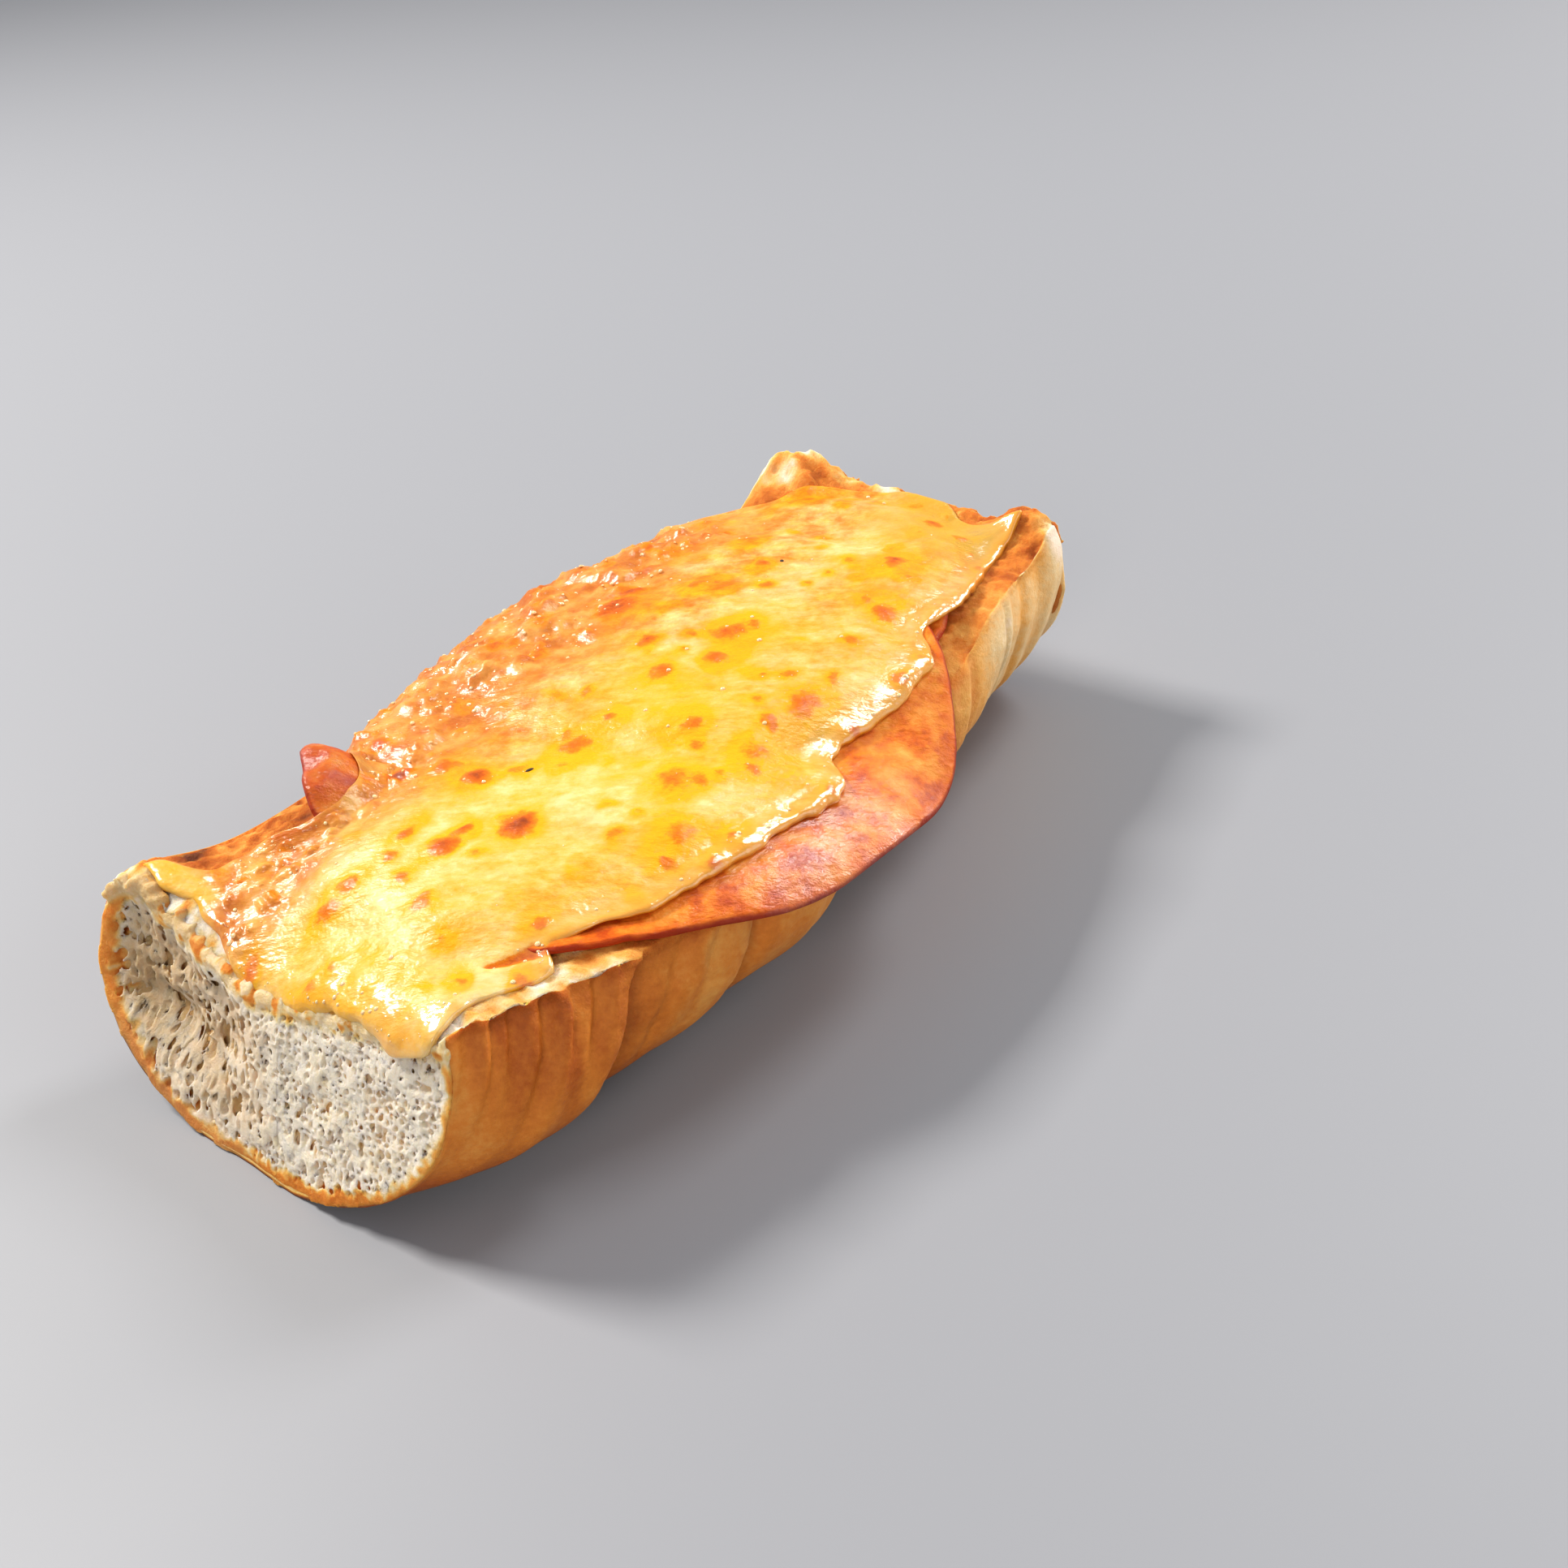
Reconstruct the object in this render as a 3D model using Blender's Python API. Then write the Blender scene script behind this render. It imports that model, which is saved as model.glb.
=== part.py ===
"""Toasted pepperoni and cheese half roll: bread, two large pepperoni slices and a melted cheese blanket.

Everything is designed about the middle of the cut face: x runs along the roll from its near end to its
far end, y from the front side to the back side, and z is the height above the cut plane. Each object's
location then puts that point where it lies in the part's own frame, whose origin is the middle of the
bounding box's base. All sizes are in metres.
"""

import bmesh
import bpy
import numpy as np

MM = 0.001

# The roll: half of a bread roll, lying on its crust.
FACE_LENGTH = 149 * MM
ROLL_DEPTH = 33.5 * MM
BASE_FLAT = 0.9 * MM
NEAR_END_SLANT = np.tan(np.radians(20))
FACE_MIDDLE = (4.7 * MM, 7 * MM, ROLL_DEPTH - BASE_FLAT)

# The front edge of the cut face swells towards the viewer; the back edge waves gently.
FRONT_EDGE = 32 * MM
FRONT_SWELL = 15 * MM
FRONT_SWELL_AT = -18 * MM
FRONT_SWELL_REACH = (42 * MM, 68 * MM)
BACK_EDGE = 30.6 * MM
BACK_WAVE = 4.2 * MM
BACK_WAVE_AT = 10 * MM
BACK_WAVE_LENGTH = 120 * MM
BACK_FLARE = 5 * MM
FRONT_BULGE = 6.5 * MM
BACK_BULGE = 8.5 * MM
SIDE_CURVE = 1.2
BELLY_SHIFT = 2.4 * MM
RAISED_CORNERS = (
    ((70 * MM, 22 * MM), (6.5 * MM, 10 * MM), 7.5 * MM),
    ((73 * MM, -29 * MM), (6.5 * MM, 8 * MM), 6.5 * MM),
    ((-76 * MM, 31 * MM), (22 * MM, 9 * MM), 2.6 * MM),
)
EDGE_ROUND = 5 * MM
END_ROUND = 2.4 * MM

# Folds in the crust: (place along the roll, depth). Each lobe stands proud and steps down to the next.
FRONT_FOLDS = ((-49 * MM, 4.2 * MM), (-26 * MM, 3.2 * MM), (-6 * MM, 2.4 * MM), (24 * MM, 1.6 * MM), (50 * MM, 1.2 * MM))
BACK_FOLDS = ((-52 * MM, 1.8 * MM), (-14 * MM, 2.2 * MM), (22 * MM, 1.8 * MM), (51 * MM, 1.4 * MM))
FOLD_STEP = 1.6 * MM
FOLD_RECOVERY = 9 * MM
FOLD_LEAN = 0.21

# Pepperoni: thin discs draped over the cut face.
SLICE_THICK = 1.2 * MM
GAP = 0.55 * MM
BACK_SLICE = {"centre": (23 * MM, 1 * MM), "radii": (38 * MM, 37 * MM)}
FRONT_SLICE = {"centre": (-8.5 * MM, -8.5 * MM), "radii": (50 * MM, 45 * MM)}
RIM_CLIMB = 9 * MM
CURL_AT = (-49 * MM, 23 * MM)
CURL_REACH = 9.5 * MM
CURL_HEIGHT = 6.5 * MM

# The cheese blanket. Its outlines pass through these places: (along the roll, across it).
CHEESE_THICK = 3.0 * MM
CHEESE_RIM = 0.5 * MM
CHEESE_FRONT = ((-77, -33), (-58, -36.5), (-40, -39.5), (-20, -43.5), (-10, -45.5), (-3, -39.5), (7, -42), (24, -38), (34, -33.5), (60, -29), (80, -23))
CHEESE_BACK = ((-77, 17), (-58, 20), (-44, 19), (-36, 24), (-28, 30), (-10, 33.5), (10, 35), (35, 32), (52, 25), (66, 14), (80, 6))

# Mesh fineness.
ALONG, AROUND, CAP_RINGS = 46, 20, 4
SLICE_SPOKES, SLICE_RINGS = 48, 10
CHEESE_ROWS, CHEESE_COLUMNS = 40, 18


def bell(distance, reach):
    """A smooth hump, 1 at the middle, with the given half width."""
    return np.exp(-((distance / reach) ** 2))


def smooth_step(value):
    """0 below 0, 1 above 1, and an S curve between."""
    t = np.clip(value, 0, 1)
    return t * t * (3 - 2 * t)


def front_edge(x):
    """y of the cut face's front edge."""
    reach = np.where(x < FRONT_SWELL_AT, *FRONT_SWELL_REACH)
    taper = 1 * MM * 2 * x / FACE_LENGTH
    return -(FRONT_EDGE - taper + FRONT_SWELL * bell(x - FRONT_SWELL_AT, reach))


def back_edge(x):
    """y of the cut face's back edge."""
    wave = BACK_WAVE * np.cos(2 * np.pi * (x - BACK_WAVE_AT) / BACK_WAVE_LENGTH)
    return BACK_EDGE + wave + BACK_FLARE * bell(x + FACE_LENGTH / 2, 9 * MM)


def hinge(distance, rounding):
    """0 well inside an edge and the distance well outside it, with a rounded turn between."""
    return (np.sqrt(distance**2 + rounding**2) + distance) / 2


def bed(x, y):
    """Height of the surface that the toppings lie on: the toasted cut face, falling away past its edges."""
    inside = np.clip(x, -FACE_LENGTH / 2, FACE_LENGTH / 2)
    dip = -5 * MM * bell(inside + FACE_LENGTH / 2, 17 * MM) * bell(y - 2 * MM, 19 * MM)
    crest = sum(
        height * bell(x - middle[0], reach[0]) * bell(y - middle[1], reach[1])
        for middle, reach, height in RAISED_CORNERS
    )
    sag = -2.5 * MM * bell(x + 12 * MM, 34 * MM) * bell(y + 46 * MM, 16 * MM)
    swell = 0.7 * MM * np.sin(x / (11 * MM) + 0.6) * np.cos(y / (13 * MM))
    sides = hinge(front_edge(x) - y, EDGE_ROUND) + hinge(y - back_edge(x), EDGE_ROUND)
    ends = 1.7 * hinge(np.abs(x) - FACE_LENGTH / 2, END_ROUND)
    return dip + crest + sag + swell - sides - ends


def crowded(count):
    """count + 1 shares from 0 to 1, closer together towards both ends."""
    even = np.linspace(0, 1, count + 1)
    return (even + (1 - np.cos(np.pi * even)) / 2) / 2


def folds(x, places):
    """How far the crust is drawn in at x by its folds: a sharp step down, then a slow recovery."""
    drawn = np.zeros_like(x)
    for place, depth in places:
        past = x - place
        drawn += depth * np.where(past > 0, np.exp(-past / FOLD_RECOVERY), np.exp(past / FOLD_STEP))
    return drawn


def crust(x, angle):
    """Points of the crust. angle runs from 0 at the front edge, under the roll, to pi at the back edge."""
    front, back = front_edge(x), back_edge(x)
    half = (back - front) / 2
    side = np.where(angle < np.pi / 2, FRONT_BULGE, BACK_BULGE)
    y = (front + back) / 2 - half * np.cos(angle) - side * np.sin(2 * angle) + BELLY_SHIFT * np.sin(angle) ** 2
    edge_height = bed(x, np.where(angle < np.pi / 2, front, back))
    fall = np.clip(np.sin(angle), 0, 1) ** SIDE_CURVE
    z = edge_height * (1 - fall) - ROLL_DEPTH * fall
    leaned = x - FOLD_LEAN * z
    front_share = smooth_step(angle / 0.3) * smooth_step((1.5 - angle) / 1.1)
    back_share = smooth_step((np.pi - angle) / 0.3) * smooth_step((angle - 1.64) / 1.1)
    y = y + folds(leaned, FRONT_FOLDS) * front_share - folds(leaned, BACK_FOLDS) * back_share
    z = np.maximum(z, -ROLL_DEPTH + BASE_FLAT)
    slant = NEAR_END_SLANT * np.clip(-2 * x / FACE_LENGTH, 0, 1)
    return np.stack([x + slant * z, y, z], axis=-1)


def face(x, share):
    """Points of the toasted cut face. share runs from 0 at the back edge to 1 at the front edge."""
    y = back_edge(x) + (front_edge(x) - back_edge(x)) * share
    return np.stack([x, y, bed(x, y)], axis=-1)


def grid_faces(rows, columns, first=0):
    """Quads of a rows x columns grid of points that are numbered row by row from first."""
    corner = first + np.arange(rows - 1)[:, None] * columns + np.arange(columns - 1)[None, :]
    quads = np.stack([corner, corner + 1, corner + columns + 1, corner + columns], axis=-1)
    return quads.reshape(-1, 4)


def add_object(name, points, faces, colour, roughness):
    """Makes one named object from points and faces about the cut face's middle, with its own material."""
    mesh = bpy.data.meshes.new(name)
    mesh.from_pydata(points.tolist(), [], [list(dict.fromkeys(face)) for face in faces.tolist()])
    turning = bmesh.new()
    turning.from_mesh(mesh)
    bmesh.ops.recalc_face_normals(turning, faces=turning.faces)
    turning.to_mesh(mesh)
    turning.free()
    obj = bpy.data.objects.new(name, mesh)
    bpy.context.scene.collection.objects.link(obj)
    obj.location = FACE_MIDDLE
    material = bpy.data.materials.new(name)
    material.use_nodes = True
    shader = material.node_tree.nodes["Principled BSDF"]
    shader.inputs["Base Color"].default_value = (*colour, 1)
    shader.inputs["Roughness"].default_value = roughness
    mesh.materials.append(material)
    mesh.shade_smooth()
    return obj


def make_bread():
    """One closed solid: a tube of cross sections, each closed by its end's ruled cap."""
    x = FACE_LENGTH * (crowded(ALONG) - 0.5)
    angle = np.linspace(0, np.pi, AROUND + 1)
    under = crust(*np.meshgrid(x, angle, indexing="ij"))
    over = face(*np.meshgrid(x, np.linspace(0, 1, AROUND + 1)[1:-1], indexing="ij"))
    rings = np.concatenate([under, over], axis=1)
    around = rings.shape[1]
    points = [rings.reshape(-1, 3)]
    number = np.arange(rings[..., 0].size).reshape(rings.shape[:2])
    wrapped = np.concatenate([number, number[:, :1]], axis=1)
    quads = np.stack([wrapped[:-1, :-1], wrapped[:-1, 1:], wrapped[1:, 1:], wrapped[1:, :-1]], axis=-1)
    faces = [quads.reshape(-1, 4)]
    for end in (0, ALONG):
        edge = number[end]
        bottom = edge[: AROUND + 1]
        top = np.concatenate([edge[:1], edge[AROUND + 1 :][::-1], edge[AROUND : AROUND + 1]])
        rows = [bottom]
        for ring in range(1, CAP_RINGS):
            share = ring / CAP_RINGS
            start = sum(len(block) for block in points)
            between = points[0][bottom] * (1 - share) + points[0][top] * share
            points.append(between[1:-1])
            inner = start + np.arange(AROUND - 1)
            rows.append(np.concatenate([bottom[:1], inner, bottom[-1:]]))
        rows.append(top)
        rows = np.array(rows)
        cap = np.stack([rows[:-1, :-1], rows[:-1, 1:], rows[1:, 1:], rows[1:, :-1]], axis=-1)
        faces.append(cap.reshape(-1, 4))
    return add_object("bread", np.concatenate(points), np.concatenate(faces), (0.72, 0.42, 0.17), 0.7)


def slice_share(x, y, disc):
    """1 over a slice, fading to 0 a little past its rim: what a layer above has to climb."""
    along = (x - disc["centre"][0]) / disc["radii"][0]
    across = (y - disc["centre"][1]) / disc["radii"][1]
    past_rim = (np.hypot(along, across) - 1) * disc["radii"][0]
    return smooth_step(1 - (past_rim - 1 * MM) / RIM_CLIMB)


def curl(x, y):
    """The front slice's rim curls up where it meets the back edge near the roll's near end."""
    distance = np.hypot(x - CURL_AT[0], y - CURL_AT[1])
    return CURL_HEIGHT * bell(distance, CURL_REACH)


def layer_height(x, y, below):
    """Height above the bed at which a layer starts, given the slices below it."""
    height = np.full_like(x, GAP)
    for disc in below:
        height += (SLICE_THICK + 1.4 * GAP) * slice_share(x, y, disc)
    if FRONT_SLICE in below:
        height += curl(x, y)
    return height


def lifted(x, y, height):
    """Points at a height above the bed, measured square to it."""
    step = 0.2 * MM
    slope_x = (bed(x + step, y) - bed(x - step, y)) / (2 * step)
    slope_y = (bed(x, y + step) - bed(x, y - step)) / (2 * step)
    square = np.stack([-slope_x, -slope_y, np.ones_like(x)], axis=-1)
    square /= np.linalg.norm(square, axis=-1, keepdims=True)
    return np.stack([x, y, bed(x, y)], axis=-1) + square * height[..., None]


def make_slice(name, disc, below, curled):
    """A draped disc: rings of points about a centre, once below and once above, joined at the rim."""
    turn = np.linspace(0, 2 * np.pi, SLICE_SPOKES, endpoint=False)
    ring = np.linspace(0, 1, SLICE_RINGS + 1)[1:]
    turn, ring = np.meshgrid(turn, ring, indexing="xy")
    wave = 1 + 0.012 * np.sin(5 * turn + 0.4) + 0.008 * np.sin(9 * turn)
    x = disc["centre"][0] + disc["radii"][0] * ring * wave * np.cos(turn)
    y = disc["centre"][1] + disc["radii"][1] * ring * wave * np.sin(turn)
    x = np.concatenate([[disc["centre"][0]], x.ravel()])
    y = np.concatenate([[disc["centre"][1]], y.ravel()])
    start = layer_height(x, y, below) + (curl(x, y) if curled else 0)
    low, high = lifted(x, y, start), lifted(x, y, start + SLICE_THICK)
    count = len(x)
    spoke = np.arange(SLICE_SPOKES)
    following = (spoke + 1) % SLICE_SPOKES
    fan = np.stack([np.zeros_like(spoke), 1 + spoke, 1 + following], axis=-1)
    bands = []
    for band in range(SLICE_RINGS - 1):
        inner, outer = 1 + band * SLICE_SPOKES, 1 + (band + 1) * SLICE_SPOKES
        bands.append(np.stack([inner + spoke, outer + spoke, outer + following, inner + following], axis=-1))
    bands = np.concatenate(bands)
    rim = 1 + (SLICE_RINGS - 1) * SLICE_SPOKES
    wall = np.stack([rim + spoke, rim + following, count + rim + following, count + rim + spoke], axis=-1)
    fan = np.concatenate([fan, fan[:, :1]], axis=1)
    faces = [fan, bands, fan + count, bands + count, wall]
    return add_object(name, np.concatenate([low, high]), np.concatenate(faces), (0.62, 0.16, 0.08), 0.35)


def outline(x, places):
    """y of a smooth curve through places in millimetres: cubics that share their slopes where they meet."""
    at, value = np.array(places).T * MM
    slope = np.gradient(value, at)
    span = np.clip(np.searchsorted(at, x) - 1, 0, len(at) - 2)
    width = at[span + 1] - at[span]
    t = np.clip((x - at[span]) / width, 0, 1)
    start = (1 + 2 * t) * (1 - t) ** 2 * value[span] + t * (1 - t) ** 2 * width * slope[span]
    return start + t**2 * (3 - 2 * t) * value[span + 1] - t**2 * (1 - t) * width * slope[span + 1]


def make_cheese():
    """A blanket between two outlines, thick in the middle and thin at its rim."""
    along, across = np.meshgrid(crowded(CHEESE_ROWS), crowded(CHEESE_COLUMNS), indexing="ij")
    front_drip = 1.4 * MM * bell(across - 0.1, 0.1)
    near = -FACE_LENGTH / 2 - 1.2 * MM - front_drip
    far = FACE_LENGTH / 2 + 1.5 * MM
    x = near + (far - near) * along
    front, back = outline(x, CHEESE_FRONT), outline(x, CHEESE_BACK)
    y = front + (back - front) * across
    rim_distance = np.minimum(np.minimum(along, 1 - along) * (far - near), np.minimum(across, 1 - across) * (back - front))
    full = np.sqrt(np.clip(rim_distance / (9 * MM), 0, 1))
    start = layer_height(x, y, [BACK_SLICE, FRONT_SLICE])
    low = lifted(x, y, start)
    high = lifted(x, y, start + CHEESE_RIM + (CHEESE_THICK - CHEESE_RIM) * full)
    rows, columns = x.shape
    count = rows * columns
    number = np.arange(count).reshape(rows, columns)
    sheet = grid_faces(rows, columns)
    border = np.concatenate([number[:-1, 0], number[-1, :-1], number[1:, -1][::-1], number[0, 1:][::-1]])
    after = np.roll(border, -1)
    wall = np.stack([border, after, after + count, border + count], axis=-1)
    faces = [sheet, sheet + count, wall]
    points = np.concatenate([low.reshape(-1, 3), high.reshape(-1, 3)])
    return add_object("cheese", points, np.concatenate(faces), (0.95, 0.72, 0.22), 0.3)


def main():
    for old in list(bpy.data.objects):
        bpy.data.objects.remove(old)
    make_bread()
    make_slice("pepperoni_back", BACK_SLICE, [], False)
    make_slice("pepperoni_front", FRONT_SLICE, [BACK_SLICE], True)
    make_cheese()


main()
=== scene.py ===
# %% [markdown]
# # A pepperoni cheese toastie
#
# Half of a long bread roll lies on its crust. Its cut face carries two big slices of pepperoni, and over
# them one blanket of cheese has melted, run to the edges, bubbled and browned. Every surface here is worked
# out with numpy as a formula on a grid, because food is uneven in ways that are easy to say as sums of
# humps, folds and noise, and tedious to push about by hand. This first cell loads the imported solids, which
# fix each piece's size and place.

import bpy
import numpy as np
from mathutils import Matrix, Vector


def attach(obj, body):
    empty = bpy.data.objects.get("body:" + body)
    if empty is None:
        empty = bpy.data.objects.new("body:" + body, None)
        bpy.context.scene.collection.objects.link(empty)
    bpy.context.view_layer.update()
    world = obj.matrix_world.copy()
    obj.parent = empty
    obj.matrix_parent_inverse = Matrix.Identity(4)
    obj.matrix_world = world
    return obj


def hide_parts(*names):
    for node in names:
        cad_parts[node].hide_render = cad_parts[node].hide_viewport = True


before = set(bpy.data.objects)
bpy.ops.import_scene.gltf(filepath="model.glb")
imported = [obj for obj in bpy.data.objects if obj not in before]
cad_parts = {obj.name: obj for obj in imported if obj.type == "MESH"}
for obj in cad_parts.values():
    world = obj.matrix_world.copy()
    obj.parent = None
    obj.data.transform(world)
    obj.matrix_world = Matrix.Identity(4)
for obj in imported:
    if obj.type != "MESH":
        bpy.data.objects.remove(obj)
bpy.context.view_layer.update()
print("nodes:", sorted(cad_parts))

# %% [markdown]
# ## The camera
#
# The camera comes first, so that each piece can be looked at as it is made. It stands off the near left end
# of the roll, looks down at 34 degrees, and is rolled by 5 degrees as a hand-held camera is. It could be
# aimed by a constraint, but a fixed matrix is exact. A camera looks along its own -Z with +Y up, so its
# rotation is the matrix whose columns are its right, up and back directions. The right and up directions
# are fitted unit vectors. Places are counted from the middle of the roll's cut face.

# %% Place the camera
MM = 0.001
FACE_MIDDLE = np.array([4.7, 7.0, 32.6]) * MM
SENSOR_WIDTH = 36
LENS = 39.13
CAMERA_FROM_FACE = Vector((-0.1640, -0.1667, 0.1364))

camera_data = bpy.data.cameras.new("camera")
camera_data.sensor_width = SENSOR_WIDTH
camera_data.lens = LENS
camera = bpy.data.objects.new("camera", camera_data)
bpy.context.scene.collection.objects.link(camera)
bpy.context.scene.camera = camera
look_right = Vector((0.59525, -0.79851, -0.08979))
look_up = Vector((0.49764, 0.2786, 0.82142))
look_back = look_right.cross(look_up)
turn = Matrix((look_right, look_up, look_back)).transposed().to_4x4()
camera_place = Vector(FACE_MIDDLE) + CAMERA_FROM_FACE
camera.matrix_world = Matrix.Translation(camera_place) @ turn
print("camera height in mm:", round(1000 * camera_place.z))

# %% [markdown]
# ## Humps, steps and noise
#
# Four small formulas do most of the shaping. A bell is a smooth hump, a smooth step goes from 0 to 1 along
# an S, a hinge is 0 on one side of a line and rises evenly on the other, and noise is a field of soft
# random bumps of a chosen size. Noise gives every whole-numbered cell of a lattice its own fixed number,
# and blends between the cells, so the same seed gives the same food each time.


# %% Smooth formulas
def bell(distance, reach):
    """A hump: 1 at distance 0, falling as e to the minus the square of distance over reach."""
    return np.exp(-((distance / reach) ** 2))


def smooth_step(value):
    """0 below 0 and 1 above 1, and three times the square less twice the cube between."""
    t = np.clip(value, 0, 1)
    return t * t * (3 - 2 * t)


def hinge(distance, rounding):
    """0 well below 0 and the distance well above it: the mean of the distance and its rounded size."""
    return (np.sqrt(distance**2 + rounding**2) + distance) / 2


def crowded(count, pull=0.75):
    """From 0 to 1 with the steps closer together near both ends: a straight line mixed with half a
    cosine."""
    t = np.linspace(0, 1, count)
    return (1 - pull) * t + pull * (0.5 - 0.5 * np.cos(np.pi * t))


def cell_number(seed, *cells):
    """One number from 0 to 1 for each lattice cell: its whole-number places multiplied by primes and
    mixed."""
    mixed = np.full(np.broadcast(*cells).shape, (seed * 2654435761 + 97) % 2**32, np.uint32)
    for cell, prime in zip(cells, (73856093, 19349663, 83492791)):
        mixed ^= cell.astype(np.int64).astype(np.uint32) * np.uint32(prime)
        mixed = (mixed ^ (mixed >> np.uint32(15))) * np.uint32(2246822519)
        mixed ^= mixed >> np.uint32(13)
    return (mixed & np.uint32(0xFFFFFF)) / float(0x1000000)


def noise(seed, size, *places, octaves=1):
    """Soft bumps about size across, from -1 to 1: cell numbers at the corners round a place, blended by
    smooth steps.

    Each further octave adds bumps of half the size and half the height."""
    total, height, whole = 0, 1, 0
    for octave in range(octaves):
        scaled = [place / size * 2**octave + 17.3 * octave for place in places]
        low = [np.floor(place) for place in scaled]
        share = [smooth_step(place - floor) for place, floor in zip(scaled, low)]
        for corner in range(2 ** len(places)):
            picks = [(corner >> axis) & 1 for axis in range(len(places))]
            weight = height
            for part, pick in zip(share, picks):
                weight = weight * (part if pick else 1 - part)
            numbers = cell_number(seed + octave, *[floor + pick for floor, pick in zip(low, picks)])
            total = total + weight * (2 * numbers - 1)
        whole += height
        height /= 2
    return total / whole


def scattered(seed, size, *places, jitter=0.8):
    """(distance to the nearest scattered point, that point's own number): one point in each lattice
    cell."""
    low = [np.floor(place / size) for place in places]
    nearest, number = np.full(places[0].shape, 9.0 * size), np.zeros(places[0].shape)
    for neighbour in range(3 ** len(places)):
        step = [(neighbour // 3**axis) % 3 - 1 for axis in range(len(places))]
        cells = [floor + move for floor, move in zip(low, step)]
        gap = 0
        for axis, (place, cell) in enumerate(zip(places, cells)):
            centre = cell + 0.5 + jitter * (cell_number(seed + 7 * axis, *cells) - 0.5)
            gap = gap + (place - centre * size) ** 2
        gap = np.sqrt(gap)
        closer = gap < nearest
        nearest = np.where(closer, gap, nearest)
        number = np.where(closer, cell_number(seed + 31, *cells), number)
    return nearest, number


sample = noise(1, 1.0, np.linspace(0, 9, 50))
print("fifty samples of noise run from", round(float(sample.min()), 2), "to", round(float(sample.max()), 2))

# %% [markdown]
# ## From points to a piece
#
# Every piece goes through the same door: an array of points counted from the cut face's middle, an array of
# faces, and a few numbers for each point, such as how browned it is, which its finish reads by name. The
# door moves the points to their place in the frame, hides the CAD nodes that it stands for, attaches it to
# the root, and shades it smooth.


# %% Make a piece
def add_piece(name, points, faces, slot, nodes=(), finish=None, **numbers):
    """Builds a mesh object at the origin from points in the face's frame, with its numbers as point
    attributes."""
    mesh = bpy.data.meshes.new(name)
    mesh.vertices.add(len(points))
    mesh.vertices.foreach_set("co", (points + FACE_MIDDLE).astype(np.float32).ravel())
    sides = np.full(len(faces), faces.shape[1])
    sides[faces[:, -1] == faces[:, -2]] -= 1
    kept = np.arange(faces.shape[1])[None, :] < sides[:, None]
    mesh.loops.add(int(sides.sum()))
    mesh.loops.foreach_set("vertex_index", faces[kept].astype(np.int32))
    mesh.polygons.add(len(faces))
    mesh.polygons.foreach_set("loop_start", np.concatenate([[0], np.cumsum(sides)[:-1]]).astype(np.int32))
    mesh.update(calc_edges=True)
    mesh.shade_smooth()
    for label, values in numbers.items():
        layer = mesh.attributes.new(label, "FLOAT", "POINT")
        layer.data.foreach_set("value", np.asarray(values, np.float32).ravel())
    piece = bpy.data.objects.new(name, mesh)
    bpy.context.scene.collection.objects.link(piece)
    if finish:
        mesh.materials.append(finish)
    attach(piece, "root")
    if nodes:
        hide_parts(*nodes)
    print(name, "has", len(points), "points and", int((sides - 2).sum()), "triangles")
    return piece


def grid_faces(rows, columns, first=0, closed=False):
    """Quads between neighbouring points of a grid numbered row by row; closed joins the last column to the
    first."""
    down, along = np.meshgrid(np.arange(rows - 1), np.arange(columns - (not closed)), indexing="ij")
    following = (along + 1) % columns
    corners = [
        down * columns + along, down * columns + following, (down + 1) * columns + following,
        (down + 1) * columns + along
    ]
    return first + np.stack(corners, axis=-1).reshape(-1, 4)


# %% [markdown]
# ## Finishes
#
# A finish is a Principled material whose colour follows the numbers that its piece carries. A ramp turns
# one number, such as how browned the cheese is, into a run of colours, and fine noise is added to the
# number first, so that edges between colours are ragged and not blurred. This cell holds the few helpers
# that lay out such nodes.


# %% Node helpers
def new_finish(name, roughness, **sockets):
    """A Principled material; each named socket gets its value directly."""
    finish = bpy.data.materials.new(name)
    finish.use_nodes = True
    shader = finish.node_tree.nodes["Principled BSDF"]
    shader.inputs["Roughness"].default_value = roughness
    for socket, value in sockets.items():
        shader.inputs[socket.replace("_", " ")].default_value = value
    return finish, finish.node_tree, shader


def join(tree, source, target):
    """Links an output, or sets a plain value, on an input."""
    if isinstance(source, bpy.types.NodeSocket):
        tree.links.new(source, target)
    else:
        target.default_value = source


def number_of(tree, label):
    """The output of a piece's point attribute."""
    node = tree.nodes.new("ShaderNodeAttribute")
    node.attribute_name = label
    return node.outputs["Fac"]


def sums(tree, operation, first, second=0.0, third=0.0):
    """One arithmetic node."""
    node = tree.nodes.new("ShaderNodeMath")
    node.operation = operation
    for source, target in zip((first, second, third), node.inputs):
        join(tree, source, target)
    return node.outputs[0]


def grain(tree, per_metre, detail=3.0, rough=0.6, longer=None, turned=0.0):
    """Blender's noise on the piece's own coordinates, from 0 to 1, drawn longer along each axis and then
    turned."""
    place = tree.nodes.new("ShaderNodeTexCoord").outputs["Object"]
    if longer:
        mapping = tree.nodes.new("ShaderNodeMapping")
        mapping.vector_type = "TEXTURE"
        mapping.inputs["Scale"].default_value = longer
        mapping.inputs["Rotation"].default_value = (0, 0, turned)
        join(tree, place, mapping.inputs["Vector"])
        place = mapping.outputs["Vector"]
    node = tree.nodes.new("ShaderNodeTexNoise")
    join(tree, place, node.inputs["Vector"])
    node.inputs["Scale"].default_value = per_metre
    node.inputs["Detail"].default_value = detail
    node.inputs["Roughness"].default_value = rough
    return node.outputs["Fac"]


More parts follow.
